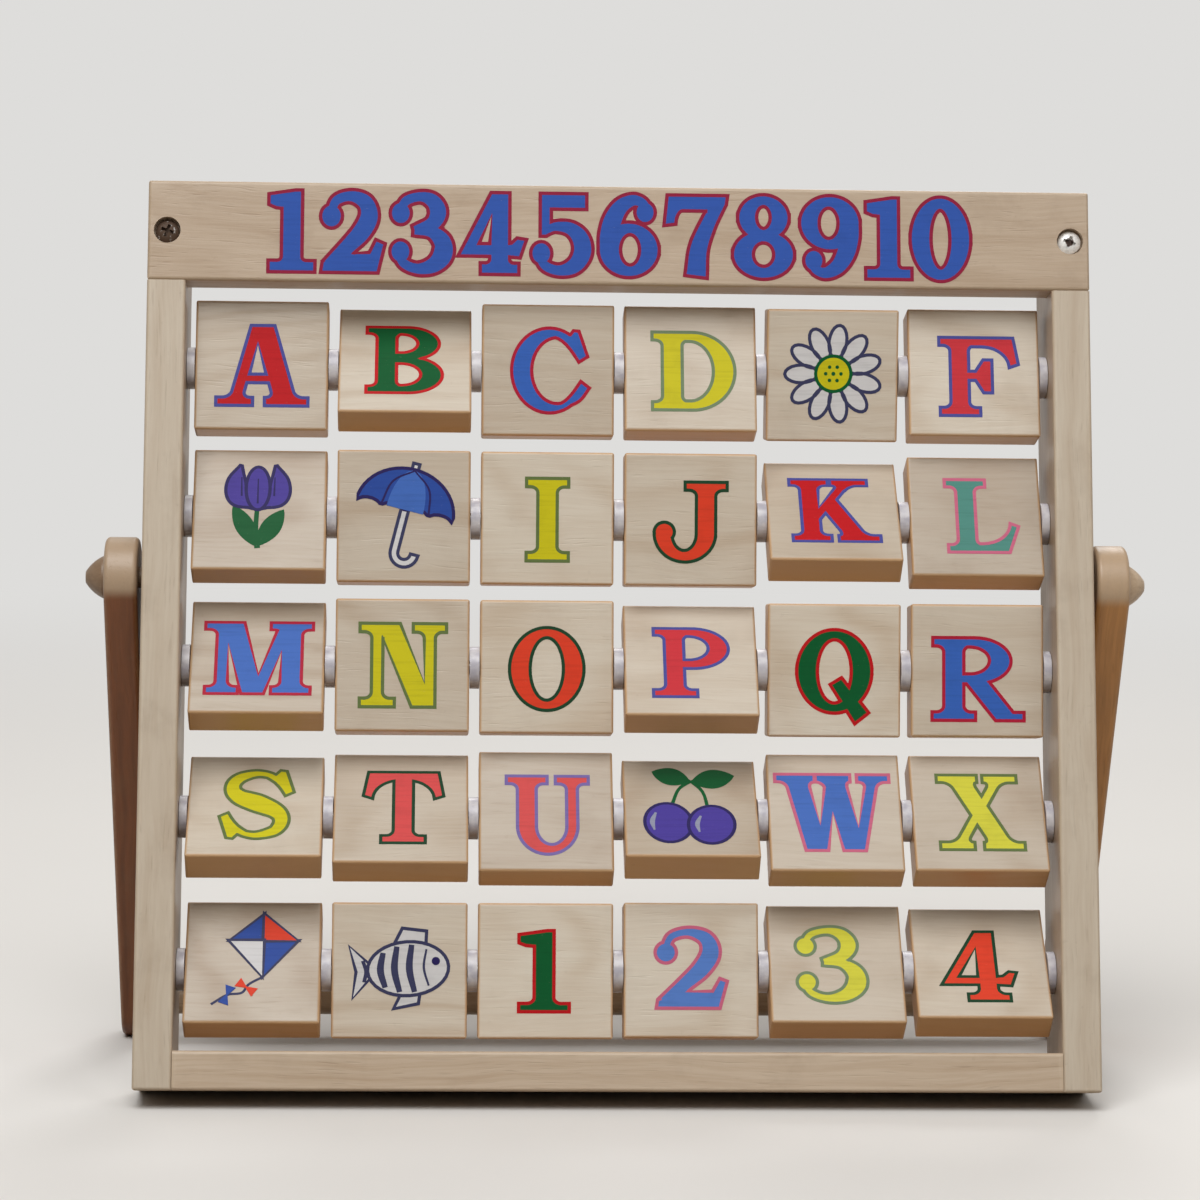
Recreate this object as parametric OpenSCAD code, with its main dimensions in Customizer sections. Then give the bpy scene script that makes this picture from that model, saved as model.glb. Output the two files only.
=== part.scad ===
// Alphabet board: a wooden easel frame with thirty tiles that turn on five rods.
// Units are millimetres and degrees. X runs to the right, Y to the back and Z up.
// The origin is on the floor, at the middle of the object's footprint.

/* [Tiles] */
// Side of each square tile
tile_size = 38; // [30:1:50]
// Thickness of each tile
tile_t = 10; // [8:0.5:14]
// Rounding of the tile edges
tile_round = 0.8; // [0.3:0.1:1.5]
// Gap between two tiles of a row, filled by a spacer
tile_gap = 3; // [2:0.25:6]
// Gap between two rows of upright tiles
row_gap = 5; // [4:0.5:12]

/* [Rods and spacers] */
// Diameter of the steel rods
rod_d = 4; // [3:0.5:5]
// Radial play between a rod and a tile's bore
rod_play = 0.1; // [0.05:0.01:0.2]
// How far a rod end sits in a stile
rod_seat = 7; // [4:0.5:8]
// Outside diameter of the spacer discs
spacer_d = 12; // [8:0.5:16]
// Play on each side of a spacer disc
spacer_play = 0.15; // [0.05:0.05:0.4]
// Gap between an outermost tile and its stile
end_gap = 2.5; // [1.5:0.25:6]

/* [Frame] */
// Thickness of the bars that the frame is cut from
stock_t = 11; // [9:0.5:14]
// Width of those bars, which is the depth of the frame
stock_w = 28; // [26:1:40]
// Height of the header board
header_h = 29; // [24:1:45]
// Least distance from a turning tile to the header or the bottom rail
swing_clear = 3.2; // [1.5:0.1:10]
// Rounding of the frame edges
frame_round = 1; // [0.4:0.1:1.5]

/* [Screws] */
// Diameter of a screw head
screw_head_d = 6.6; // [5:0.1:8]
// Height of a screw head
screw_head_h = 2.2; // [1.5:0.1:3]
// Diameter of a screw shank
screw_d = 3.5; // [2.5:0.1:4.5]
// Length of a screw under its head
screw_l = 20; // [16:1:24]
// Diameter of the counterbore that takes a head
counterbore_d = 7.6; // [7:0.1:9]
// Depth of the counterbore
counterbore_h = 2.8; // [2:0.1:4]

/* [Stand] */
// Lean of the board back from upright
board_lean = 12.5; // [8:0.5:18]
// Height of the leg pivots above the bottom of the board, along the board
pivot_up = 145; // [130:1:160]
// Slope of the legs from upright
leg_slope = 25.3; // [20:0.1:32]
// Width of a leg
leg_w = 23; // [18:1:28]
// Thickness of a leg
leg_t = 9.5; // [7:0.5:12]
// Rounding of the leg edges
leg_round = 1.4; // [0.5:0.1:2]
// Gap between a leg and its stile
leg_gap = 1.5; // [0.5:0.25:3]
// Diameter of the crossbar between the feet
crossbar_d = 10; // [8:0.5:12]
// How far the crossbar sits in each leg
crossbar_seat = 6; // [4:0.5:7]

/* [Pivot pegs] */
// Diameter of a peg shank
peg_d = 6; // [4:0.5:8]
// Radial play of a leg on its peg
peg_play = 0.1; // [0.05:0.01:0.1]
// How far a peg sits in a stile
peg_seat = 8; // [5:0.5:8]
// Diameter of a peg head
peg_head_d = 12; // [10:0.5:14]
// Height of a peg head
peg_head_h = 5.4; // [4:0.1:7]
// Gap between a peg head and its leg
peg_gap = 0.3; // [0.1:0.1:0.6]

/* [Hidden] */
$fn = 96;
// Margin by which a cut passes a surface
eps = 0.5;

// One name for each tile, row by row from the top left
tile_names = [
    "tile_a", "tile_b", "tile_c", "tile_d", "tile_e", "tile_f",
    "tile_g", "tile_h", "tile_i", "tile_j", "tile_k", "tile_l",
    "tile_m", "tile_n", "tile_o", "tile_p", "tile_q", "tile_r",
    "tile_s", "tile_t", "tile_u", "tile_v", "tile_w", "tile_x",
    "tile_y", "tile_z", "tile_1", "tile_2", "tile_3", "tile_4"
];

// How far each tile is turned from the plane of the board, its top edge to the back
tile_turn = [
    [3, 28, -4, 8, -12, 5],
    [17, -2, -5, -5, 34, 17],
    [27, 1, -2, 28, -7, -4],
    [38, 32, 23, 40, 25, 26],
    [25, -3, -3, 2, 28, 34]
];
rows = len(tile_turn);
cols = len(tile_turn[0]);

// Board layout, in a frame that stands upright on the board's bottom front edge
col_pitch = tile_size + tile_gap;
row_pitch = tile_size + row_gap;
inner_w = cols * tile_size + (cols - 1) * tile_gap + 2 * end_gap;
board_w = inner_w + 2 * stock_t;
swing_r = norm([tile_size, tile_t]) / 2;
low_rod_z = stock_t + swing_clear + swing_r;
board_h = low_rod_z + (rows - 1) * row_pitch + swing_r + swing_clear + header_h;
rod_y = stock_w / 2;
stile_x = board_w / 2 - stock_t / 2;
screw_z = board_h - header_h / 2;
function tile_x(c) = (c - (cols - 1) / 2) * col_pitch;
function rod_z(r) = low_rod_z + (rows - 1 - r) * row_pitch;

// Stance: the board rests on its bottom back edge and on the two round feet
board_lift = (stock_w - frame_round) * sin(board_lean) + frame_round * (1 - cos(board_lean));
pivot_y = rod_y * cos(board_lean) + pivot_up * sin(board_lean);
pivot_z = board_lift - rod_y * sin(board_lean) + pivot_up * cos(board_lean);
leg_l = (pivot_z - leg_w / 2) / cos(leg_slope);
front_y = frame_round * (cos(board_lean) + sin(board_lean) - 1);
back_y = pivot_y + leg_l * sin(leg_slope) + leg_w / 2;
middle_y = (front_y + back_y) / 2;

// Legs and pegs, measured out from the middle of the board
leg_in_x = board_w / 2 + leg_gap;
leg_out_x = leg_in_x + leg_t;
peg_tip_d = 3.4;
peg_rim_h = 0.6;
peg_curve_r = 12;

module on_board() {
    translate([0, -middle_y, board_lift]) rotate([-board_lean, 0, 0]) children();
}

// The leg pivots' axis becomes the X axis, and the legs hang along -Z
module on_stand() {
    translate([0, pivot_y - middle_y, pivot_z]) rotate([leg_slope, 0, 0]) children();
}

// A rectangle centred on the origin with round corners
module round_rect(w, h, r) {
    square([w - 2 * r, h], center = true);
    square([w, h - 2 * r], center = true);
    for (x = [-1, 1], y = [-1, 1])
        translate([x * (w / 2 - r), y * (h / 2 - r)]) circle(r);
}

// A bar centred on the origin with all its edges rounded
module round_bar(size, r) {
    intersection() {
        linear_extrude(size.z, center = true) round_rect(size.x, size.y, r);
        rotate([90, 0, 0]) linear_extrude(size.y, center = true) round_rect(size.x, size.z, r);
        rotate([90, 0, 90]) linear_extrude(size.x, center = true) round_rect(size.y, size.z, r);
    }
}

module x_cylinder(d, x0, x1) {
    translate([x0, 0, 0]) rotate([0, 90, 0]) cylinder(d = d, h = x1 - x0);
}

// A hole for a screw that enters along +Z at the origin, with its counterbore
module screw_hole(depth) {
    translate([0, 0, -eps]) cylinder(d = counterbore_d, h = counterbore_h + eps);
    cylinder(d = screw_d, h = depth);
}

// A pan head screw that points along +Z, with a cross recess in its head
module screw() {
    recess_w = 0.9;
    recess_l = screw_head_d * 0.55;
    difference() {
        intersection() {
            translate([0, 0, counterbore_h - screw_head_h]) cylinder(d = screw_head_d, h = screw_head_h);
            translate([0, 0, counterbore_h - screw_head_h + screw_head_d * 0.8])
                sphere(r = screw_head_d * 0.8);
        }
        for (turn = [20, 110])
            rotate(turn) translate([-recess_l / 2, -recess_w / 2, 0])
                cube([recess_l, recess_w, counterbore_h - screw_head_h * 0.35]);
    }
    rotate_extrude() polygon([
        [0, counterbore_h - screw_head_h * 0.2], [screw_d / 2, counterbore_h - screw_head_h * 0.2],
        [screw_d / 2, counterbore_h + screw_l - screw_d / 2], [0.3, counterbore_h + screw_l],
        [0, counterbore_h + screw_l]
    ]);
}

// Puts its children where a header screw enters: side is -1 on the left and 1 on the right
module at_header_screw(side) {
    translate([side * stile_x, 0, screw_z]) rotate([-90, 0, 0]) children();
}

// Puts its children where a rail screw enters from outside a stile
module at_rail_screw(side) {
    translate([side * board_w / 2, rod_y, stock_t / 2]) rotate([0, -side * 90, 0]) children();
}

// A stile with its lap for the header and the blind holes for rods, peg and screws
module stile(side) {
    color("burlywood") on_board() difference() {
        translate([side * stile_x, rod_y, board_h / 2])
            round_bar([stock_t, stock_w, board_h], frame_round);
        translate([side * stile_x - stock_t, -eps, board_h - header_h])
            cube([2 * stock_t, stock_t + eps, header_h + eps]);
        for (r = [0 : rows - 1])
            translate([0, rod_y, rod_z(r)])
                x_cylinder(rod_d, side * inner_w / 2 - (side > 0 ? eps : rod_seat),
                    side * inner_w / 2 + (side > 0 ? rod_seat : eps));
        translate([0, rod_y, pivot_up])
            x_cylinder(peg_d, side * board_w / 2 - (side > 0 ? peg_seat : eps),
                side * board_w / 2 + (side > 0 ? eps : peg_seat));
        at_header_screw(side) screw_hole(counterbore_h + screw_l);
        at_rail_screw(side) screw_hole(stock_t + eps);
    }
}

module left_stile() { stile(-1); }

module right_stile() { stile(1); }

module header_rail() {
    color("tan") on_board() difference() {
        translate([0, stock_t / 2, board_h - header_h / 2])
            round_bar([board_w, stock_t, header_h], frame_round);
        for (side = [-1, 1]) at_header_screw(side) screw_hole(stock_t + eps);
    }
}

module bottom_rail() {
    color("burlywood") on_board() difference() {
        translate([0, rod_y, stock_t / 2]) rotate([90, 0, 90])
            linear_extrude(inner_w, center = true) round_rect(stock_w, stock_t, frame_round);
        for (side = [-1, 1]) at_rail_screw(side) screw_hole(counterbore_h + screw_l);
    }
}

module header_screws() {
    color("silver") on_board() for (side = [-1, 1]) at_header_screw(side) screw();
}

module rail_screws() {
    color("silver") on_board() for (side = [-1, 1]) at_rail_screw(side) screw();
}

module rod(r) {
    color("lightsteelblue") on_board() translate([0, rod_y, rod_z(r)])
        x_cylinder(rod_d, -inner_w / 2 - rod_seat, inner_w / 2 + rod_seat);
}

// One disc around a rod, from x0 to x1
module spacer(x0, x1) {
    difference() {
        x_cylinder(spacer_d, x0 + spacer_play, x1 - spacer_play);
        x_cylinder(rod_d, x0, x1);
    }
}

module spacers_row(r) {
    color("whitesmoke") on_board() translate([0, rod_y, rod_z(r)]) {
        for (c = [1 : cols - 1])
            spacer(tile_x(c) - tile_size / 2 - tile_gap, tile_x(c) - tile_size / 2);
        spacer(-inner_w / 2, -inner_w / 2 + end_gap);
        spacer(inner_w / 2 - end_gap, inner_w / 2);
    }
}

module tile(r, c) {
    color("wheat") on_board() translate([tile_x(c), rod_y, rod_z(r)])
        rotate([-tile_turn[r][c], 0, 0]) difference() {
            round_bar([tile_size, tile_t, tile_size], tile_round);
            x_cylinder(rod_d + 2 * rod_play, -tile_size / 2 - eps, tile_size / 2 + eps);
        }
}

// A disc with a rounded rim, lying across X: the round end of a leg
module leg_end() {
    rotate([0, 90, 0]) rotate_extrude() intersection() {
        round_rect(leg_w, leg_t, leg_round);
        translate([0, -leg_t]) square([leg_w, 2 * leg_t]);
    }
}

// A leg with round ends, a pivot bore at the top and a blind hole for the crossbar
module leg(side) {
    color("peru") on_stand() difference() {
        translate([side * (leg_in_x + leg_t / 2), 0, 0]) {
            leg_end();
            translate([0, 0, -leg_l]) leg_end();
            translate([0, 0, -leg_l]) linear_extrude(leg_l) round_rect(leg_t, leg_w, leg_round);
        }
        x_cylinder(peg_d + 2 * peg_play, -leg_out_x - eps, leg_out_x + eps);
        translate([0, 0, -leg_l])
            x_cylinder(crossbar_d, -leg_in_x - crossbar_seat, leg_in_x + crossbar_seat);
    }
}

module left_leg() { leg(-1); }

module right_leg() { leg(1); }

module leg_crossbar() {
    color("burlywood") on_stand() translate([0, 0, -leg_l])
        x_cylinder(crossbar_d, -leg_in_x - crossbar_seat, leg_in_x + crossbar_seat);
}

// Half outline of a peg head: a short rim, a bulging cone and a small flat tip
module peg_head_outline() {
    rim = [peg_head_d / 2, peg_rim_h];
    tip = [peg_tip_d / 2, peg_head_h];
    chord = tip - rim;
    inward = [-chord.y, chord.x] / norm(chord);
    curve_centre = (rim + tip) / 2 + inward * sqrt(peg_curve_r ^ 2 - (chord * chord) / 4);
    square([peg_head_d / 2, peg_rim_h]);
    intersection() {
        square([peg_head_d / 2, peg_head_h]);
        translate(curve_centre) circle(peg_curve_r, $fn = 240);
    }
}

// A turned peg that points out along side * X and holds a leg against its stile
module pivot_peg(side) {
    color("sienna") on_board() translate([0, rod_y, pivot_up])
        rotate([0, side * 90, 0]) {
            translate([0, 0, board_w / 2 - peg_seat])
                cylinder(d = peg_d, h = leg_out_x + peg_gap + peg_rim_h / 2 - board_w / 2 + peg_seat);
            translate([0, 0, leg_out_x + peg_gap]) rotate_extrude() peg_head_outline();
        }
}

module left_pivot_peg() { pivot_peg(-1); }

module right_pivot_peg() { pivot_peg(1); }

left_stile();
right_stile();
header_rail();
bottom_rail();
header_screws();
rail_screws();
for (r = [0 : rows - 1]) {
    rod(r);
    spacers_row(r);
    for (c = [0 : cols - 1])
        tile(r, c);
}
left_leg();
right_leg();
leg_crossbar();
left_pivot_peg();
right_pivot_peg();
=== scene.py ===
import math

import bpy
import numpy as np
from mathutils import Matrix, Vector
from mathutils.geometry import delaunay_2d_cdt


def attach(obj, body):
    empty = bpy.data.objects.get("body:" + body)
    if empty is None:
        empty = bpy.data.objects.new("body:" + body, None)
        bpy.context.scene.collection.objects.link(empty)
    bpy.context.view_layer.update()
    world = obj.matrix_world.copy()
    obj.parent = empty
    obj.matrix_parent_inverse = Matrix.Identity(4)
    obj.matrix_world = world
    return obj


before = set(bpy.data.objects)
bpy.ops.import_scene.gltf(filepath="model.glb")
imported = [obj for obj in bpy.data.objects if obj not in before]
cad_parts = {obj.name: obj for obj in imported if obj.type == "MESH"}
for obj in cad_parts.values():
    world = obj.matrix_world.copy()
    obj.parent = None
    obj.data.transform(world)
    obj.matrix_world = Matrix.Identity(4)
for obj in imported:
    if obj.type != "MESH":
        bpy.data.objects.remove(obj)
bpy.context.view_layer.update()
print("frame loaded")


def meshPoints(nodeName):
    # a node's corner points, one row each
    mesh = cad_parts[nodeName].data
    points = np.empty(len(mesh.vertices) * 3)
    mesh.vertices.foreach_get("co", points)
    return points.reshape(-1, 3)


def facing(nodeName):
    # the way a flat piece looks: the normal of its largest triangle that points to the front
    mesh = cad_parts[nodeName].data
    normals = np.empty(len(mesh.polygons) * 3)
    areas = np.empty(len(mesh.polygons))
    mesh.polygons.foreach_get("normal", normals)
    mesh.polygons.foreach_get("area", areas)
    normals = normals.reshape(-1, 3)
    return Vector(normals[np.argmax(areas * (normals[:, 1] < -0.3))]).normalized()


def spanAlong(nodeName, direction):
    # how far the node reaches along a direction: the least and greatest dot product of its points with it
    reach = meshPoints(nodeName) @ np.array(direction)
    return reach.min(), reach.max()


def boxFrame(nodeName, axes):
    # centre and half sizes of a node, measured along three directions of its own
    spans = [spanAlong(nodeName, axis) for axis in axes]
    centre = sum((axis * (low + high) / 2 for axis, (low, high) in zip(axes, spans)), Vector())
    return centre, [(high - low) / 2 for low, high in spans]


right = Vector((1, 0, 0))
boardOut = facing("header_rail")
boardUp = boardOut.cross(right)
boardBottom = spanAlong("left_stile", boardUp)[0]
boardFront = spanAlong("left_stile", boardOut)[1]
tileRows = ["abcdef", "ghijkl", "mnopqr", "stuvwx", "yz1234"]
tileMarks = [mark for row in tileRows for mark in row]

# camera, placed from the middle of the board's front along the board's own axes, in metres and degrees
cameraLook = {
    "distance": 1.05, "aimUp": 0.130, "aside": -0.0058, "above": 0.0077,
    "turn": 2.61, "tilt": -7.87, "roll": -0.13, "lens": 111.57,
}


def addObject(name, data):
    made = bpy.data.objects.new(name, data)
    bpy.context.scene.collection.objects.link(made)
    return made


def makeCamera(look):
    # turned about the board's own axes, then drawn back along its new line of sight
    data = bpy.data.cameras.new("camera")
    data.sensor_width = 36
    data.lens = look["lens"]
    data.clip_end = 20
    camera = addObject("camera", data)
    axes = Matrix((right, boardUp, boardOut)).transposed()
    for angle, axis in ((look["turn"], "Y"), (look["tilt"], "X"), (look["roll"], "Z")):
        axes = axes @ Matrix.Rotation(-math.radians(angle), 3, axis)
    aim = boardUp * (boardBottom + look["aimUp"]) + boardOut * boardFront
    place = aim + axes @ Vector((look["aside"], look["above"], look["distance"]))
    camera.matrix_world = Matrix.Translation(place) @ axes.to_4x4()
    bpy.context.scene.camera = camera


makeCamera(cameraLook)
print("camera set")


# shader tree helpers
def plug(tree, sockets, values):
    # each socket takes a link where its value is another socket, and otherwise the value itself
    for key, value in values.items():
        if isinstance(value, bpy.types.NodeSocket):
            tree.links.new(value, sockets[key])
        else:
            sockets[key].default_value = value


def addNode(tree, kind, values=None, **settings):
    made = tree.nodes.new(kind)
    for key, value in settings.items():
        setattr(made, key, value)
    plug(tree, made.inputs, values or {})
    return made


def newGroup(name, inputs, outputs):
    # an empty node group with named sockets: inputs are (name, kind, starting value)
    tree = bpy.data.node_groups.new(name, "ShaderNodeTree")
    for label, kind, start in inputs:
        socket = tree.interface.new_socket(name=label, in_out="INPUT", socket_type="NodeSocket" + kind)
        if start is not None:
            socket.default_value = start
    for label, kind in outputs:
        tree.interface.new_socket(name=label, in_out="OUTPUT", socket_type="NodeSocket" + kind)
    return tree, tree.nodes.new("NodeGroupInput").outputs, tree.nodes.new("NodeGroupOutput").inputs


def calc(tree, operation, a, b=0.0, c=0.0, clamp=False):
    made = addNode(tree, "ShaderNodeMath", {0: a, 1: b, 2: c}, operation=operation, use_clamp=clamp)
    return made.outputs[0]


def vectorCalc(tree, operation, a, b=(0, 0, 0), c=(0, 0, 0), output=0):
    made = addNode(tree, "ShaderNodeVectorMath", {0: a, 1: b, 2: c}, operation=operation)
    return made.outputs[output]


def noise(tree, vector, scale, detail=2.0, roughness=0.5, output=0):
    # the pattern is stretched by scale, which gives its cells per metre along each axis
    place = vectorCalc(tree, "MULTIPLY", vector, scale)
    made = addNode(tree, "ShaderNodeTexNoise",
                   {"Vector": place, "Scale": 1.0, "Detail": detail, "Roughness": roughness})
    return made.outputs[output]


def mixColour(tree, factor, a, b):
    # sockets 6 and 7 are the two colours, and output 2 is the mixed one
    return addNode(tree, "ShaderNodeMix", {0: factor, 6: a, 7: b}, data_type="RGBA").outputs[2]


def ramp(tree, value, low, high):
    # 0 below low, 1 above high, and a smooth rise between them
    made = addNode(tree, "ShaderNodeMapRange", {"Value": value, "From Min": low, "From Max": high},
                   interpolation_type="SMOOTHSTEP")
    return made.outputs[0]


def bump(tree, height, strength, depth):
    made = addNode(tree, "ShaderNodeBump", {"Height": height, "Strength": strength, "Distance": depth})
    return made.outputs[0]


def colour(red, green, blue):
    # a screen colour from 0 to 255, as the linear numbers that a shader takes
    c = np.array([red, green, blue]) / 255
    c = np.where(c <= 0.04045, c / 12.92, ((c + 0.055) / 1.055) ** 2.4)
    return (*c.tolist(), 1.0)


def newMaterial(name):
    # a material, its tree, its shader and the place on the object, in metres
    material = bpy.data.materials.new(name)
    material.use_nodes = True
    tree = material.node_tree
    place = addNode(tree, "ShaderNodeTexCoord").outputs["Object"]
    return material, tree, tree.nodes["Principled BSDF"], place


poreColour = (104, 74, 46)


def makeGrainGroup():
    # sawn pale wood with its grain along X: warped rings about a far pith, fibres, pores and slow changes of
    # tone; a ring's wave is the sine of the distance from the pith, which leans through the wood
    tree, given, out = newGroup(
        "sawnPaleWood",
        [("Vector", "Vector", None), ("Log Spot", "Vector", (0, 0, 0)), ("Log Lean", "Float", 0.05),
         ("Early", "Color", (0.5, 0.4, 0.3, 1)), ("Late", "Color", (0.3, 0.2, 0.1, 1)),
         ("Rings", "Float", 330.0), ("Ring Strength", "Float", 0.4), ("Fibre Strength", "Float", 0.35),
         ("Pore Strength", "Float", 0.3)],
        [("Color", "Color"), ("Height", "Float"), ("Roughness", "Float")])
    place = vectorCalc(tree, "ADD", given["Vector"], given["Log Spot"])
    sway = noise(tree, place, (14, 34, 34), 2.0, 0.5, "Color")
    bent = vectorCalc(tree, "MULTIPLY_ADD", sway, (0, 0.009, 0.009), (0, -0.0045, -0.0045))
    place = vectorCalc(tree, "ADD", place, bent)
    parts = addNode(tree, "ShaderNodeSeparateXYZ", {0: place}).outputs
    depth = calc(tree, "MULTIPLY_ADD", parts[0], given["Log Lean"], parts[2])
    square = calc(tree, "MULTIPLY_ADD", parts[1], parts[1], calc(tree, "MULTIPLY", depth, depth))
    distance = calc(tree, "SQRT", square)
    turns = calc(tree, "MULTIPLY", calc(tree, "MULTIPLY", distance, given["Rings"]), 2 * math.pi)
    wave = calc(tree, "MULTIPLY_ADD", calc(tree, "SINE", turns), 0.5, 0.5)
    patchy = ramp(tree, noise(tree, place, (12, 60, 60), 1.0), 0.3, 0.7)
    ringShare = calc(tree, "MULTIPLY_ADD", patchy, 0.8, 0.2)
    rings = calc(tree, "MULTIPLY", calc(tree, "POWER", wave, 2.4), ringShare)
    fibre = ramp(tree, noise(tree, place, (40, 1100, 1100), 3.0, 0.6), 0.3, 0.72)
    tone = noise(tree, place, (9, 70, 70), 2.0)
    pores = ramp(tree, noise(tree, place, (110, 1500, 1500), 1.0), 0.6, 0.78)
    fibreShade = calc(tree, "MULTIPLY", fibre, given["Fibre Strength"])
    shade = calc(tree, "MULTIPLY_ADD", rings, given["Ring Strength"], fibreShade)
    shade = calc(tree, "ADD", shade, calc(tree, "MULTIPLY_ADD", tone, 0.7, -0.25), clamp=True)
    poreShade = calc(tree, "MULTIPLY", pores, given["Pore Strength"])
    sawn = mixColour(tree, shade, given["Early"], given["Late"])
    height = calc(tree, "MULTIPLY_ADD", fibre, -0.35, calc(tree, "MULTIPLY", pores, -0.8))
    poreRough = calc(tree, "MULTIPLY_ADD", poreShade, 0.3, 0.38)
    plug(tree, out, {
        "Color": mixColour(tree, poreShade, sawn, colour(*poreColour)),
        "Height": calc(tree, "MULTIPLY_ADD", rings, -0.25, height),
        "Roughness": calc(tree, "MULTIPLY_ADD", shade, 0.12, poreRough)})
    return tree


def makeEdgeGroup():
    # wear along a box's edges: on a face one of the three distances to the sides is 0, and the middle one is
    # the distance to the nearest edge; Sides is 1 on the four narrow faces
    tree, given, out = newGroup(
        "wornEdges",
        [("Vector", "Vector", None), ("Half Size", "Vector", (0.02, 0.02, 0.005)),
         ("Width", "Float", 0.0012)],
        [("Mask", "Float"), ("Sides", "Float")])
    inside = vectorCalc(tree, "SUBTRACT", given["Half Size"], vectorCalc(tree, "ABSOLUTE", given["Vector"]))
    x, y, z = addNode(tree, "ShaderNodeSeparateXYZ", {0: inside}).outputs
    sideways = calc(tree, "MINIMUM", x, y)
    nearest = calc(tree, "MAXIMUM", sideways, calc(tree, "MINIMUM", calc(tree, "MAXIMUM", x, y), z))
    uneven = noise(tree, given["Vector"], (260, 260, 260), 3.0, 0.6)
    reach = calc(tree, "MULTIPLY", given["Width"], calc(tree, "MULTIPLY_ADD", uneven, 1.6, 0.2))
    plug(tree, out, {
        "Mask": calc(tree, "SUBTRACT", 1.0, calc(tree, "DIVIDE", nearest, reach), clamp=True),
        "Sides": calc(tree, "SUBTRACT", 1.0, ramp(tree, sideways, 0.0001, 0.0009))})
    return tree


def makeHandlingGroup():
    # marks of use: large soft smears and small specks, as one mask
    tree, given, out = newGroup(
        "handling", [("Vector", "Vector", None), ("Amount", "Float", 0.3)], [("Mask", "Float")])
    smear = ramp(tree, noise(tree, given["Vector"], (45, 45, 45), 4.0, 0.65), 0.5, 0.74)
    speck = ramp(tree, noise(tree, given["Vector"], (420, 420, 420), 2.0), 0.7, 0.76)
    both = calc(tree, "MULTIPLY_ADD", speck, 0.5, smear)
    plug(tree, out, {"Mask": calc(tree, "MULTIPLY", both, given["Amount"], clamp=True)})
    return tree


grainGroup = makeGrainGroup()
edgeGroup = makeEdgeGroup()
handlingGroup = makeHandlingGroup()

# colours from 0 to 255, rings per metre, strengths from 0 to 1 and the worn edge's width in metres
# side is the narrow faces' colour, partly their own sawn tint and partly painted shade, the strongest on the
# tiles
plainWood = {
    "rings": 280, "ring": 0.26, "fibre": 0.22, "pore": 0.14, "use": 0.2, "edge": 0.0013, "edgeMix": 0.5,
    "coat": 0.1, "side": (150, 112, 74), "sideTintAndShadeMix": 0.4,
}
legWood = {
    **plainWood, "ring": 0.36, "fibre": 0.3, "pore": 0.2, "edge": 0.001, "worn": (180, 144, 104),
    "sideTintAndShadeMix": 0.0,
}
woodLooks = {
    "tile": {**plainWood, "early": (211, 202, 187), "late": (182, 162, 138), "ring": 0.42, "fibre": 0.2,
             "pore": 0.06, "use": 0.12, "edge": 0.0009, "edgeMix": 0.15, "worn": (216, 204, 186),
             "coat": 0.14, "side": (196, 150, 98), "sideTintAndShadeMix": 0.88},
    "frame": {**plainWood, "early": (198, 187, 170), "late": (168, 148, 125), "rings": 300,
              "worn": (210, 197, 176)},
    "header": {**plainWood, "early": (190, 172, 151), "late": (162, 138, 112), "ring": 0.3, "fibre": 0.3,
               "worn": (202, 186, 163)},
    # painted shade: the legs' warm browns are the shade that falls on them, the left leg's deeper than the
    # right's
    "leftLegShade": {**legWood, "early": (132, 77, 36), "late": (88, 48, 20)},
    "rightLegShade": {**legWood, "early": (194, 140, 80), "late": (142, 97, 54)},
    "turned": {**plainWood, "early": (190, 168, 142), "late": (152, 124, 96), "rings": 420, "ring": 0.4,
               "fibre": 0.3, "pore": 0.2, "use": 0.25, "edge": 0.0006, "worn": (202, 184, 158), "coat": 0.12,
               "sideTintAndShadeMix": 0.0},
}
# the legs' round ends are painted pale as a painted highlight on their curved tops, fading between two
# distances from the end in metres
legEndHighlight = {"pale": (176, 155, 130), "mix": 0.85, "from": 0.0085, "to": 0.0125}
# the same shares make the painted shade in the tiles' and pegs' tones warm
toneShares = (0.85, 1.0, 1.15)  # darker wood is warmer too: its red falls less, its blue more
handledColour = (126, 104, 80)


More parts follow.
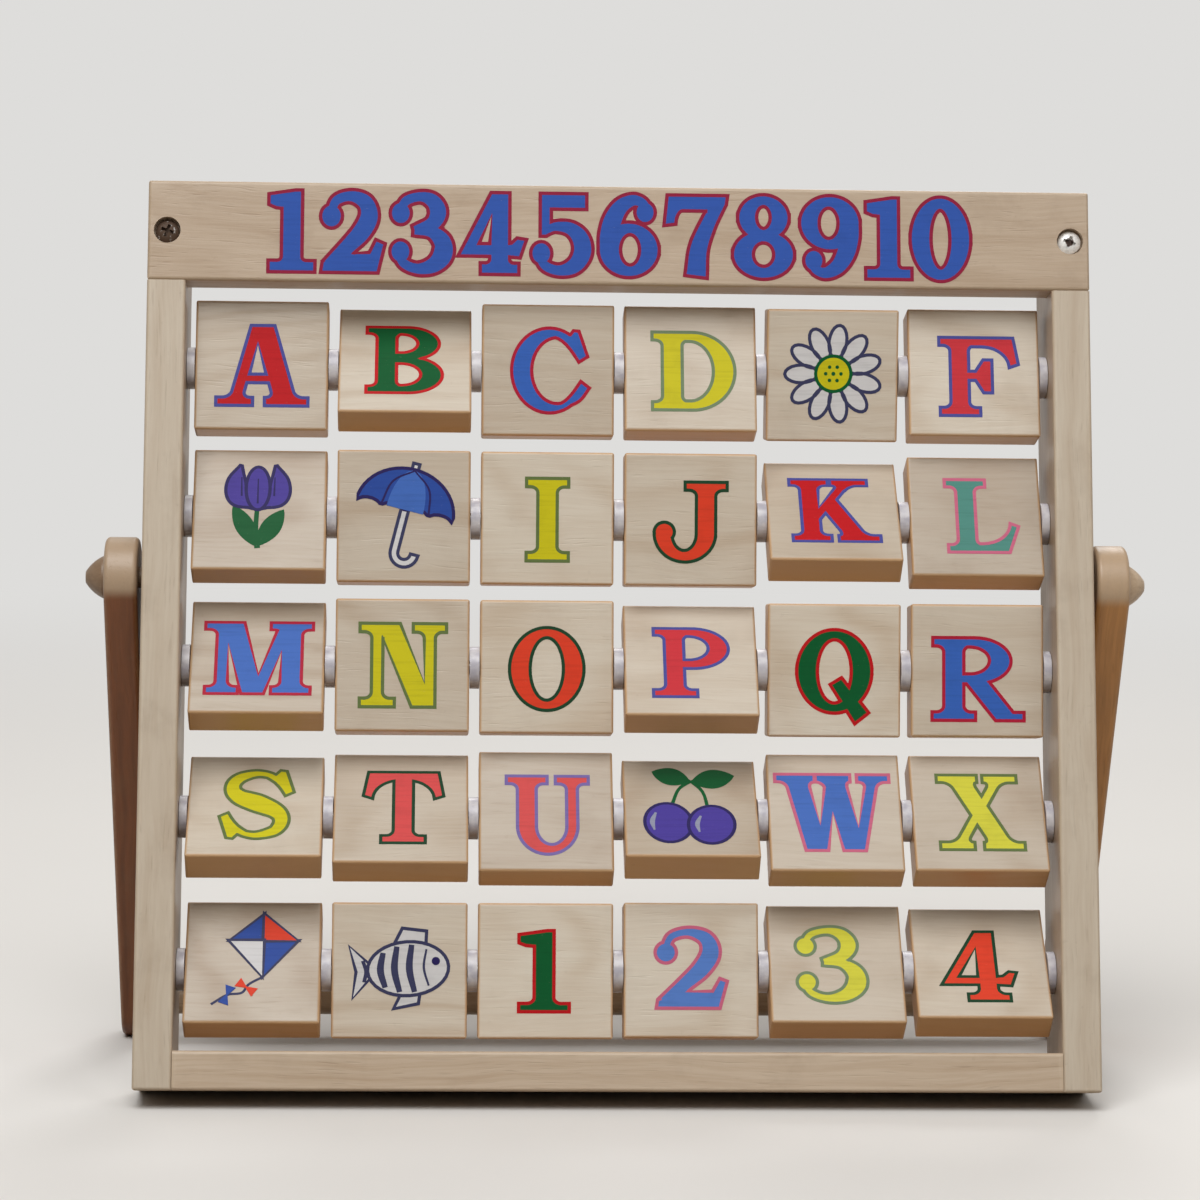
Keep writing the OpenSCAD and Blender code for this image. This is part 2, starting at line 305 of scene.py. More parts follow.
def woodMaterial(name, look, centre, axes, halfSize, logSpot, lean, tone, end=None):
    # axes: the piece's own directions as the grain, the width and the thickness
    material, tree, shader, place = newMaterial(name)
    turned = Matrix(axes)
    place = addNode(tree, "ShaderNodeMapping", {
        "Vector": place, "Rotation": turned.to_euler("XYZ"), "Location": -(turned @ centre)}).outputs[0]
    early, late, worn = (
        colour(*(c * (1 - tone * share) for c, share in zip(look[key], toneShares)))
        for key in ("early", "late", "worn"))
    grain = addNode(tree, "ShaderNodeGroup", {
        "Vector": place, "Log Spot": logSpot, "Log Lean": lean, "Early": early, "Late": late,
        "Rings": look["rings"], "Ring Strength": look["ring"], "Fibre Strength": look["fibre"],
        "Pore Strength": look["pore"]}, node_tree=grainGroup)
    edge = addNode(tree, "ShaderNodeGroup", {
        "Vector": place, "Half Size": halfSize, "Width": look["edge"]}, node_tree=edgeGroup)
    used = addNode(tree, "ShaderNodeGroup", {
        "Vector": vectorCalc(tree, "ADD", place, logSpot), "Amount": look["use"]}, node_tree=handlingGroup)
    # the narrow faces take the side colour: part sawn tint, part painted shade
    sides = calc(tree, "MULTIPLY", edge.outputs["Sides"], look["sideTintAndShadeMix"])
    shown = mixColour(tree, sides, grain.outputs["Color"], colour(*look["side"]))
    # painted highlight: the round end of a leg turns pale where its curved top catches the light
    if end:
        along = addNode(tree, "ShaderNodeSeparateXYZ", {0: place}).outputs[0]
        fromEnd = calc(tree, "ADD", along, halfSize[0])
        pale = calc(tree, "SUBTRACT", 1.0, ramp(tree, fromEnd, end["from"], end["to"]))
        shown = mixColour(tree, calc(tree, "MULTIPLY", pale, end["mix"]), shown, colour(*end["pale"]))
    shown = mixColour(tree, calc(tree, "MULTIPLY", edge.outputs["Mask"], look["edgeMix"]), shown, worn)
    shown = mixColour(tree, used.outputs[0], shown, colour(*handledColour))
    rough = calc(tree, "MULTIPLY_ADD", used.outputs[0], 0.3, grain.outputs["Roughness"])
    plug(tree, shader.inputs, {
        "Base Color": shown, "Roughness": calc(tree, "MULTIPLY_ADD", edge.outputs["Mask"], 0.12, rough),
        "Normal": bump(tree, grain.outputs["Height"], 0.4, 0.0001), "Coat Weight": look["coat"],
        "Coat Roughness": 0.35})
    return material


def dress(nodeName, material):
    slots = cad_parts[nodeName].data.materials
    slots.clear()
    slots.append(material)


# where in the log the tiles are cut, in metres: a step along it for each, their spread across it, the least
# depth and its spread, the turn and share that spread them, and how far the grain can lean out of a face
tileLog = {"apart": 0.31, "across": 0.022, "near": 0.03, "depth": 0.045, "turn": 2.4, "share": 0.618,
           "lean": 0.3}
# how much darker each tile is than the plain wood: partly the wood's own tone and partly painted shade, most
# on the tipped tiles that the lamps light more
tileToneAndShade = {
    "a": 0.11, "b": 0.055, "c": 0.09, "d": 0.06, "e": 0.02, "f": 0.02, "g": 0.185, "h": 0.09, "j": 0.04,
    "k": 0.1, "l": 0.21, "m": 0.16, "n": 0.1, "p": 0.07, "q": -0.02, "r": 0.06, "s": 0.05, "t": 0.11,
    "u": 0.185, "v": 0.15, "w": 0.11, "x": 0.13, "y": 0.175, "1": -0.04, "3": 0.1, "4": 0.05,
}
tileFrames = {}  # each tile's centre, its way up, its way out and half its thickness
for number, mark in enumerate(tileMarks):
    out = facing("tile_" + mark)
    axes = (right, out.cross(right), out)
    centre, halfSize = boxFrame("tile_" + mark, axes)
    tileFrames[mark] = (centre, axes[1], out, halfSize[2])
    share = number * tileLog["share"] % 1
    logSpot = (tileLog["apart"] * number, tileLog["across"] * math.cos(number * tileLog["turn"]),
               tileLog["near"] + tileLog["depth"] * share)
    lean = tileLog["lean"] * (share - 0.5)
    dress("tile_" + mark, woodMaterial("tileWood_" + mark, woodLooks["tile"], centre, axes, halfSize, logSpot,
                                       lean, tileToneAndShade.get(mark, 0.0)))

# the other wooden pieces: wood, way of the grain, spot and lean in the log, and shade, which on the pivot
# pegs is painted shade on the left and painted light on the right
boardAxes = {"along": (right, boardUp, boardOut), "upright": (boardUp, -right, boardOut)}
pegMiddle = boxFrame("left_pivot_peg", boardAxes["along"])[0]
barMiddle = boxFrame("leg_crossbar", boardAxes["along"])[0]
legRun = Vector((0, barMiddle.y - pegMiddle.y, barMiddle.z - pegMiddle.z)).normalized()
legSide = right.cross(legRun)
boardAxes["leg"] = (legRun, legSide, legRun.cross(legSide))
woodenPieces = {
    "left_stile": ("frame", "upright", (0.4, 0.012, 0.06), 0.02, 0.0),
    "right_stile": ("frame", "upright", (1.3, -0.02, 0.045), -0.015, 0.0),
    "header_rail": ("header", "along", (2.2, 0.03, 0.05), 0.03, 0.02),
    "bottom_rail": ("header", "along", (3.1, -0.015, 0.055), -0.02, -0.04),
    "left_leg": ("leftLegShade", "leg", (4.4, 0.02, 0.05), 0.02, 0.0),
    "right_leg": ("rightLegShade", "leg", (5.3, -0.012, 0.06), 0.02, 0.0),
    # the left peg's larger tone is painted shade, the right peg's lower one painted light
    "left_pivot_peg": ("turned", "along", (6.1, 0.004, 0.012), 0.03, 0.3),
    "right_pivot_peg": ("turned", "along", (6.9, -0.006, 0.01), 0.03, -0.1),
    "leg_crossbar": ("turned", "along", (7.7, 0.01, 0.014), 0.03, 0.0),
}
for name, (look, lie, logSpot, lean, tone) in woodenPieces.items():
    axes = boardAxes[lie]
    centre, halfSize = boxFrame(name, axes)
    end = legEndHighlight if lie == "leg" else None
    dress(name, woodMaterial(name + "_wood", woodLooks[look], centre, axes, halfSize, logSpot, lean, tone,
                             end))
print("wood finished")

# the left screw's colour and the recess colour are painted shade
metalLooks = {
    "rod": {"bright": (196, 196, 194), "dull": (150, 148, 144), "rough": 0.28},
    "screw": {"bright": (240, 240, 238), "dull": (214, 213, 210), "rough": 0.36, "leftScrewShade": (74, 54, 38),
              "recess": (64, 40, 26), "axis": 0.1295, "recessSize": 0.0013},
}


def rodMaterial(look):
    # drawn steel: fine scratches along the rod and a few dull patches
    material, tree, shader, place = newMaterial("drawnSteel")
    scratch = noise(tree, place, (60, 4200, 4200), 3.0, 0.6)
    patch = ramp(tree, noise(tree, place, (90, 300, 300), 3.0), 0.45, 0.75)
    rough = calc(tree, "MULTIPLY_ADD", scratch, 0.14, look["rough"] - 0.07)
    plug(tree, shader.inputs, {
        "Base Color": mixColour(tree, patch, colour(*look["bright"]), colour(*look["dull"])),
        "Roughness": calc(tree, "MULTIPLY_ADD", patch, 0.15, rough),
        "Normal": bump(tree, scratch, 0.15, 0.00003), "Metallic": 1.0})
    return material


def screwMaterial(look, middle):
    # zinc plate, bright on the right side of the board and darkened brown on the left as painted shade;
    # painted shade fills the recess, a disc round the axis of the header's right screw; middle lies midway
    # between the two screws
    material, tree, shader, place = newMaterial("zincPlate")
    blotch = noise(tree, place, (900, 900, 900), 4.0, 0.65)
    side = addNode(tree, "ShaderNodeSeparateXYZ", {0: place}).outputs[0]
    # painted shade: the left screw is darkened brown in blotches, as the shade it lies in
    leftScrewShade = calc(tree, "MULTIPLY", calc(tree, "LESS_THAN", side, 0.0), ramp(tree, blotch, 0.22, 0.42))
    headPlace = boardUp * middle.dot(boardUp) + right * look["axis"]
    fromAxis = vectorCalc(tree, "SUBTRACT", place, headPlace)
    fromAxis = vectorCalc(tree, "CROSS_PRODUCT", fromAxis, boardOut)
    fromAxis = vectorCalc(tree, "LENGTH", fromAxis, output="Value")
    # painted shade: a dark disc over the right screw's recess
    outsideRecess = ramp(tree, fromAxis, look["recessSize"] - 0.0003, look["recessSize"] + 0.0001)
    recessShade = calc(tree, "SUBTRACT", 1.0, outsideRecess)
    plate = mixColour(tree, ramp(tree, blotch, 0.4, 0.7), colour(*look["bright"]), colour(*look["dull"]))
    plate = mixColour(tree, leftScrewShade, plate, colour(*look["leftScrewShade"]))
    unshadedPlate = calc(tree, "SUBTRACT", 1.0, calc(tree, "MAXIMUM", leftScrewShade, recessShade))
    rough = calc(tree, "MULTIPLY_ADD", blotch, 0.2, look["rough"] - 0.1)
    plug(tree, shader.inputs, {
        "Base Color": mixColour(tree, recessShade, plate, colour(*look["recess"])),
        "Metallic": calc(tree, "MULTIPLY", unshadedPlate, 0.15),
        "Roughness": calc(tree, "MULTIPLY_ADD", leftScrewShade, 0.35, rough),
        "Normal": bump(tree, blotch, 0.25, 0.00005)})
    return material


spacerLook = {"milk": (202, 200, 204), "shade": (176, 174, 184), "rough": 0.34, "glow": 0.25}


def spacerMaterial(look):
    # milky nylon: cloudy inside, with faint turning marks on the rim
    material, tree, shader, place = newMaterial("milkyNylon")
    cloud = noise(tree, place, (320, 320, 320), 3.0)
    turned = noise(tree, place, (5200, 240, 240), 2.0)
    shown = mixColour(tree, ramp(tree, cloud, 0.35, 0.7), colour(*look["milk"]), colour(*look["shade"]))
    plug(tree, shader.inputs, {
        "Base Color": shown, "Roughness": calc(tree, "MULTIPLY_ADD", turned, 0.16, look["rough"] - 0.08),
        "Normal": bump(tree, turned, 0.2, 0.00004), "Subsurface Weight": look["glow"],
        "Subsurface Radius": (0.002, 0.002, 0.0022), "Subsurface Scale": 1.0})
    return material


rodSteel = rodMaterial(metalLooks["rod"])
zincPlate = screwMaterial(metalLooks["screw"], boxFrame("header_screws", boardAxes["along"])[0])
milkyNylon = spacerMaterial(spacerLook)
for row in range(1, len(tileRows) + 1):
    dress(f"rod_{row}", rodSteel)
    dress(f"spacers_row_{row}", milkyNylon)
dress("header_screws", zincPlate)
dress("rail_screws", zincPlate)
print("metal and nylon finished")

inkColours = {
    "red": (186, 20, 28), "pinkRed": (198, 48, 58), "coral": (208, 76, 76), "orangeRed": (217, 63, 38),
    "crimson": (172, 28, 56), "wine": (140, 24, 58), "pink": (196, 98, 128), "yellow": (200, 192, 26),
    "lemon": (206, 203, 62), "green": (2, 86, 42), "pine": (22, 62, 38), "moss": (96, 114, 66),
    "paleMoss": (112, 132, 100), "teal": (76, 136, 126), "blue": (42, 74, 156), "royal": (46, 84, 170),
    "azure": (54, 98, 184), "midBlue": (66, 106, 186), "sky": (86, 126, 200), "iris": (72, 76, 150),
    "violet": (70, 56, 146), "lilac": (116, 100, 164), "deepViolet": (40, 32, 88), "slate": (58, 60, 92),
    "grey": (138, 142, 164), "white": (208, 208, 210),
}
# how the enamel lies: the shares of its darker shade, of fibres, clouds and rubbed specks, and its gloss
inkLook = {
    "dark": 0.8, "fibre": 0.4, "cloud": 0.25, "rubbed": 0.14, "wood": (198, 184, 165), "rough": 0.44,
    "shine": 0.14,
}


def makeInkGroup(look):
    # screen printed enamel: the wood's fibres show through a little, and it is rubbed thin in specks
    tree, given, out = newGroup(
        "printedEnamel",
        [("Vector", "Vector", None), ("Ink", "Color", (0.5, 0.1, 0.1, 1)),
         ("Dark Ink", "Color", (0.3, 0.05, 0.05, 1))],
        [("Color", "Color"), ("Height", "Float"), ("Roughness", "Float")])
    fibre = noise(tree, given["Vector"], (60, 1300, 1300), 3.0, 0.6)
    cloud = noise(tree, given["Vector"], (120, 120, 120), 3.0, 0.6)
    speck = noise(tree, given["Vector"], (900, 2600, 2600), 2.0, 0.6)
    fibreShade = calc(tree, "MULTIPLY", ramp(tree, fibre, 0.45, 0.8), look["fibre"])
    cloudShade = calc(tree, "MULTIPLY", ramp(tree, cloud, 0.5, 0.8), look["cloud"])
    rubbed = calc(tree, "MULTIPLY", ramp(tree, speck, 0.68, 0.8), look["rubbed"])
    shown = mixColour(tree, fibreShade, given["Ink"], given["Dark Ink"])
    shown = mixColour(tree, cloudShade, shown, given["Dark Ink"])
    plug(tree, out, {
        "Color": mixColour(tree, rubbed, shown, colour(*look["wood"])), "Height": fibre,
        "Roughness": calc(tree, "MULTIPLY_ADD", fibre, 0.14, look["rough"])})
    return tree


inkGroup = makeInkGroup(inkLook)


def inkMaterial(name, shade, look=inkLook):
    material, tree, shader, place = newMaterial("ink_" + name)
    dark = [c * look["dark"] for c in shade]
    enamel = addNode(tree, "ShaderNodeGroup", {
        "Vector": place, "Ink": colour(*shade), "Dark Ink": colour(*dark)}, node_tree=inkGroup).outputs
    plug(tree, shader.inputs, {
        "Base Color": enamel["Color"], "Roughness": enamel["Roughness"],
        "Normal": bump(tree, enamel["Height"], 0.25, 0.00004), "Specular IOR Level": look["shine"]})
    return material


inks = {name: inkMaterial(name, shade) for name, shade in inkColours.items()}
print("inks mixed")


# printed shapes: a list of closed strokes in millimetres is joined to one sheet of triangles
def leftTurning(stroke):
    # the sum of the cross products of neighbouring points is twice the area: below 0, the points run the
    # other way, and are turned round
    ahead = np.roll(stroke, -1, axis=0)
    area = (stroke[:, 0] * ahead[:, 1] - stroke[:, 1] * ahead[:, 0]).sum()
    return stroke if area > 0 else stroke[::-1]


def covered(stroke, spots):
    # true where the stroke's winding number round a spot isn't 0: of the edges that cross the spot's level on
    # its right, as many rise as fall where it is 0
    x, y = spots[:, :1], spots[:, 1:]
    a, b = stroke, np.roll(stroke, -1, axis=0)
    side = (b[:, 0] - a[:, 0]) * (y - a[:, 1]) - (x - a[:, 0]) * (b[:, 1] - a[:, 1])
    rising = (a[:, 1] <= y) & (b[:, 1] > y) & (side > 0)
    falling = (a[:, 1] > y) & (b[:, 1] <= y) & (side < 0)
    return rising.sum(axis=1) != falling.sum(axis=1)


def sheetOf(strokes):
    # the strokes' points and edges are joined to triangles, and those whose middle any stroke covers are
    # kept; mode 0 gives every triangle, and points closer than the last number count as one
    strokes = [leftTurning(np.asarray(stroke)) for stroke in strokes]
    ends = np.cumsum([len(stroke) for stroke in strokes])
    outlines = [list(range(end - len(stroke), end)) for stroke, end in zip(strokes, ends)]
    found = delaunay_2d_cdt([Vector(p) for p in np.vstack(strokes)], [], outlines, 0, 1e-5)
    points, triangles = np.array([tuple(p) for p in found[0]]), np.array(found[2])
    middles = points[triangles].mean(axis=1)
    kept = np.zeros(len(triangles), dtype=bool)
    for stroke in strokes:
        kept |= covered(stroke, middles)
    return points, triangles[kept]


def rimOf(triangles):
    # the edges that one triangle alone has, each with the sheet on its left; an edge's code is its first
    # point's number times a base larger than any number of points, plus its second point's
    base = 1000003
    edges = np.vstack([triangles[:, [0, 1]], triangles[:, [1, 2]], triangles[:, [2, 0]]])
    codes, reverse = edges @ np.array([base, 1]), edges @ np.array([1, base])
    return edges[~np.isin(codes, reverse)]


# the least square that a corner is divided by, so that sharp corners stay short, and the least doubled area
rimLimits = {"sharpest": 0.9, "sliver": 2e-4}


def rimStrokes(points, triangles, inward, outward):
    # two triangles along each rim edge; a corner moves along the sum of its two edge normals, divided by
    # half the square of that sum's length, which keeps the line's width round the corner
    rim = rimOf(triangles)
    along = points[rim[:, 1]] - points[rim[:, 0]]
    along /= np.linalg.norm(along, axis=1)[:, None]
    normals = np.stack([along[:, 1], -along[:, 0]], 1)
    total = np.zeros_like(points)
    np.add.at(total, rim[:, 0], normals)
    np.add.at(total, rim[:, 1], normals)
    mitre = 2 * total / np.maximum((total**2).sum(axis=1), rimLimits["sharpest"])[:, None]
    a, b = rim[:, 0], rim[:, 1]
    aIn, aOut = points[a] - mitre[a] * inward, points[a] + mitre[a] * outward
    bIn, bOut = points[b] - mitre[b] * inward, points[b] + mitre[b] * outward
    pieces = np.vstack([np.stack([aIn, aOut, bOut], axis=1), np.stack([aIn, bOut, bIn], axis=1)])
    sides = pieces[:, 1:] - pieces[:, :1]
    area = sides[:, 0, 0] * sides[:, 1, 1] - sides[:, 0, 1] * sides[:, 1, 0]
    return list(pieces[np.abs(area) > rimLimits["sliver"]])


def plateOf(points, triangles, low, high):
    # the sheet at two heights with a wall along its rim: a thin closed plate
    count, rim = len(points), rimOf(triangles)
    solid = np.vstack([np.column_stack([points, np.full(count, z)]) for z in (high, low)])
    walls = [np.stack([rim[:, 0], rim[:, 0] + count, rim[:, 1] + count], 1),
             np.stack([rim[:, 0], rim[:, 1] + count, rim[:, 1]], 1)]
    return solid, np.vstack([triangles, triangles[:, ::-1] + count, *walls])


# heights from the wood's surface and reaches of the outline from a shape's rim, in millimetres
printLook = {"sunk": -0.04, "thick": 0.045, "step": 0.012, "lineIn": 0.25, "lineOut": 0.7}


def makePrint(name, layers, origin, across, up, body, look=printLook):
    # layers from the first printed to the last: strokes, the fill's ink and the line's ink or None
    out = across.cross(up)
    points, faces, slots, used = [], [], [], []
    count = 0
    top = look["thick"]
    for strokes, fill, line in layers:
        sheet = sheetOf(strokes)
        parts = [(sheet, fill)] if fill else []
        if line:
            parts.append((sheetOf(rimStrokes(*sheet, look["lineIn"], look["lineOut"])), line))
        for (flat, triangles), ink in parts:
            solid, shell = plateOf(flat, triangles, look["sunk"], top)
            top += look["step"]
            if ink not in used:
                used.append(ink)
            points.append(solid)
            faces.append(shell + count)
            slots += [used.index(ink)] * len(shell)
            count += len(solid)
    points = np.vstack(points) / 1000
    placed = np.array(origin) + points @ np.array([across, up, out])
    mesh = bpy.data.meshes.new(name)
    mesh.from_pydata(placed.tolist(), [], np.vstack(faces).tolist())
    mesh.polygons.foreach_set("material_index", slots)
    for ink in used:
        mesh.materials.append(inks[ink])
    piece = addObject(name, mesh)
    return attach(piece, body)


# printed letters: capital height 1, baseline at 0, every stroke a closed outline of points; the slab's
# thickness, the bracket's height and greatest length, an arc's points, and the tiles' capitals in millimetres
letterForm = {"slab": 0.085, "bracket": 0.085, "longest": 0.1, "arcSteps": 40, "height": 23.2}


def loop(*points):
    # a closed outline straight from corner to corner
    return np.array(points, dtype=float)


def rect(x0, y0, x1, y1):
    # an upright rectangle between two opposite corners
    return loop((x0, y0), (x1, y0), (x1, y1), (x0, y1))


def stem(x, width, low=0.0, high=1.0):
    # an upright stroke, half its width to each side of x
    return rect(x - width / 2, low, x + width / 2, high)


def slant(x0, y0, x1, y1, width):
    # a straight stroke whose ends are level: both ends are one width wide along x
    half = width / 2
    return loop((x0 - half, y0), (x0 + half, y0), (x1 + half, y1), (x1 - half, y1))


def foot(x, width, stemWidth, lean=0.0):
    # a slab, then a quarter ellipse that curves in and up to the stem, mirrored on both sides; on a stem
    # that leans, the curves move over by the lean times their height
    slab, bracket = letterForm["slab"], letterForm["bracket"]
    a = np.linspace(0, np.pi / 2, 9)
    height = slab + bracket * (1 - np.cos(a))
    sides = []
    for way in (1, -1):
        run = np.clip(width / 2 - stemWidth / 2 - way * lean * slab, 0, letterForm["longest"])
        curve = np.stack([way * (stemWidth / 2 + run * (1 - np.sin(a))) + lean * height, height], 1)
        sides.append(np.vstack([[[way * width / 2, 0], [way * width / 2, slab]], curve]))
    return np.vstack([sides[0], sides[1][::-1]]) + [x, 0]


def head(x, width, stemWidth, lean=0.0):
    # a foot turned upside down
    return (foot(x, width, stemWidth, -lean) * [1, -1])[::-1] + [0, 1]


def post(x, width, headWidth, footWidth):
    # a stem between its head and its foot
    return [stem(x, width), head(x, headWidth, width), foot(x, footWidth, width)]


def band(outer, inner, start, stop):
    # the space between two ellipses (centre x, centre y, radius x, radius y) from one angle to another
    a = np.radians(np.linspace(start, stop, letterForm["arcSteps"]))
    sides = [np.stack([e[0] + e[2] * np.cos(a), e[1] + e[3] * np.sin(a)], 1) for e in (outer, inner)]
    return np.vstack([sides[0], sides[1][::-1]])


def ring(outer, inner):
    # a whole band, as two halves that overlap by four degrees
    return [band(outer, inner, -2, 182), band(outer, inner, 178, 362)]


def disc(x, y, radius):
    # a circle: the radius times the cosine and the sine, moved to x, y
    a = np.linspace(0, 2 * np.pi, 24, endpoint=False)
    return np.stack([x + radius * np.cos(a), y + radius * np.sin(a)], 1)


def ribbon(points, widths, steps=10):
    # a Catmull-Rom curve through the points and their widths, widened to each side by half of its width
    p = np.column_stack([points, widths])
    p = np.vstack([2 * p[0] - p[1], p, 2 * p[-1] - p[-2]])
    spans = len(points) - 1
    t = np.linspace(0, spans, spans * steps + 1)
    i = np.minimum(t.astype(int), spans - 1)
    u = (t - i)[:, None]
    a, b, c, d = p[i], p[i + 1], p[i + 2], p[i + 3]
    curve = 0.5 * (2 * b + (c - a) * u + (2 * a - 5 * b + 4 * c - d) * u**2 + (3 * b - a - 3 * c + d) * u**3)
    spine, half = curve[:, :2], curve[:, 2:] / 2
    along = np.gradient(spine, axis=0)
    along /= np.linalg.norm(along, axis=1)[:, None]
    across = np.stack([-along[:, 1], along[:, 0]], 1)
    return np.vstack([spine - across * half, (spine + across * half)[::-1]])


def bow(x, y, radiusX, radiusY, start, stop):
    # points along an ellipse from one angle to another
    a = np.radians(np.linspace(start, stop, 14))
    return np.stack([x + radiusX * np.cos(a), y + radiusY * np.sin(a)], 1)


def mirrored(outline, axis):
    # x becomes twice the axis less x, and the points run the other way so that they still turn left
    return (outline * [-1, 1] + [2 * axis, 0])[::-1]


roundStroke = band((0.5, 0.5, 0.48, 0.52), (0.6, 0.5, 0.34, 0.42), 48, 312)
topBeak = loop((0.56, 0.95), (0.77, 0.94), (0.81, 0.99), (0.87, 0.985), (0.98, 0.68), (0.88, 0.62),
               (0.83, 0.695), (0.78, 0.762), (0.725, 0.825), (0.67, 0.873), (0.615, 0.906), (0.56, 0.925))
hangingBeak = np.vstack([bow(0.54, 0.62, 0.36, 0.28, 90, 3), [[1.0, 0.67], [0.94, 1.0], [0.54, 1.0]]])
raisedBeak = np.vstack([bow(0.46, 0.4, 0.4, 0.3, -90, -3), [[0.95, 0.35], [0.82, 0.0], [0.46, 0.0]]])
sBeak = loop((0.6, 0.955), (0.7, 0.945), (0.76, 1.01), (0.83, 1.0), (0.93, 0.69), (0.83, 0.64),
             (0.79, 0.71), (0.745, 0.775), (0.69, 0.835), (0.63, 0.88), (0.57, 0.92))
sixStrokes = ring((0.44, 0.31, 0.42, 0.33), (0.46, 0.31, 0.18, 0.23)) + [
    ribbon([(0.135, 0.31), (0.145, 0.5), (0.205, 0.7), (0.325, 0.87), (0.5, 0.955), (0.64, 0.925),
            (0.71, 0.84)], [0.23, 0.24, 0.23, 0.18, 0.12, 0.1, 0.1]),
    disc(0.685, 0.8, 0.115),
]

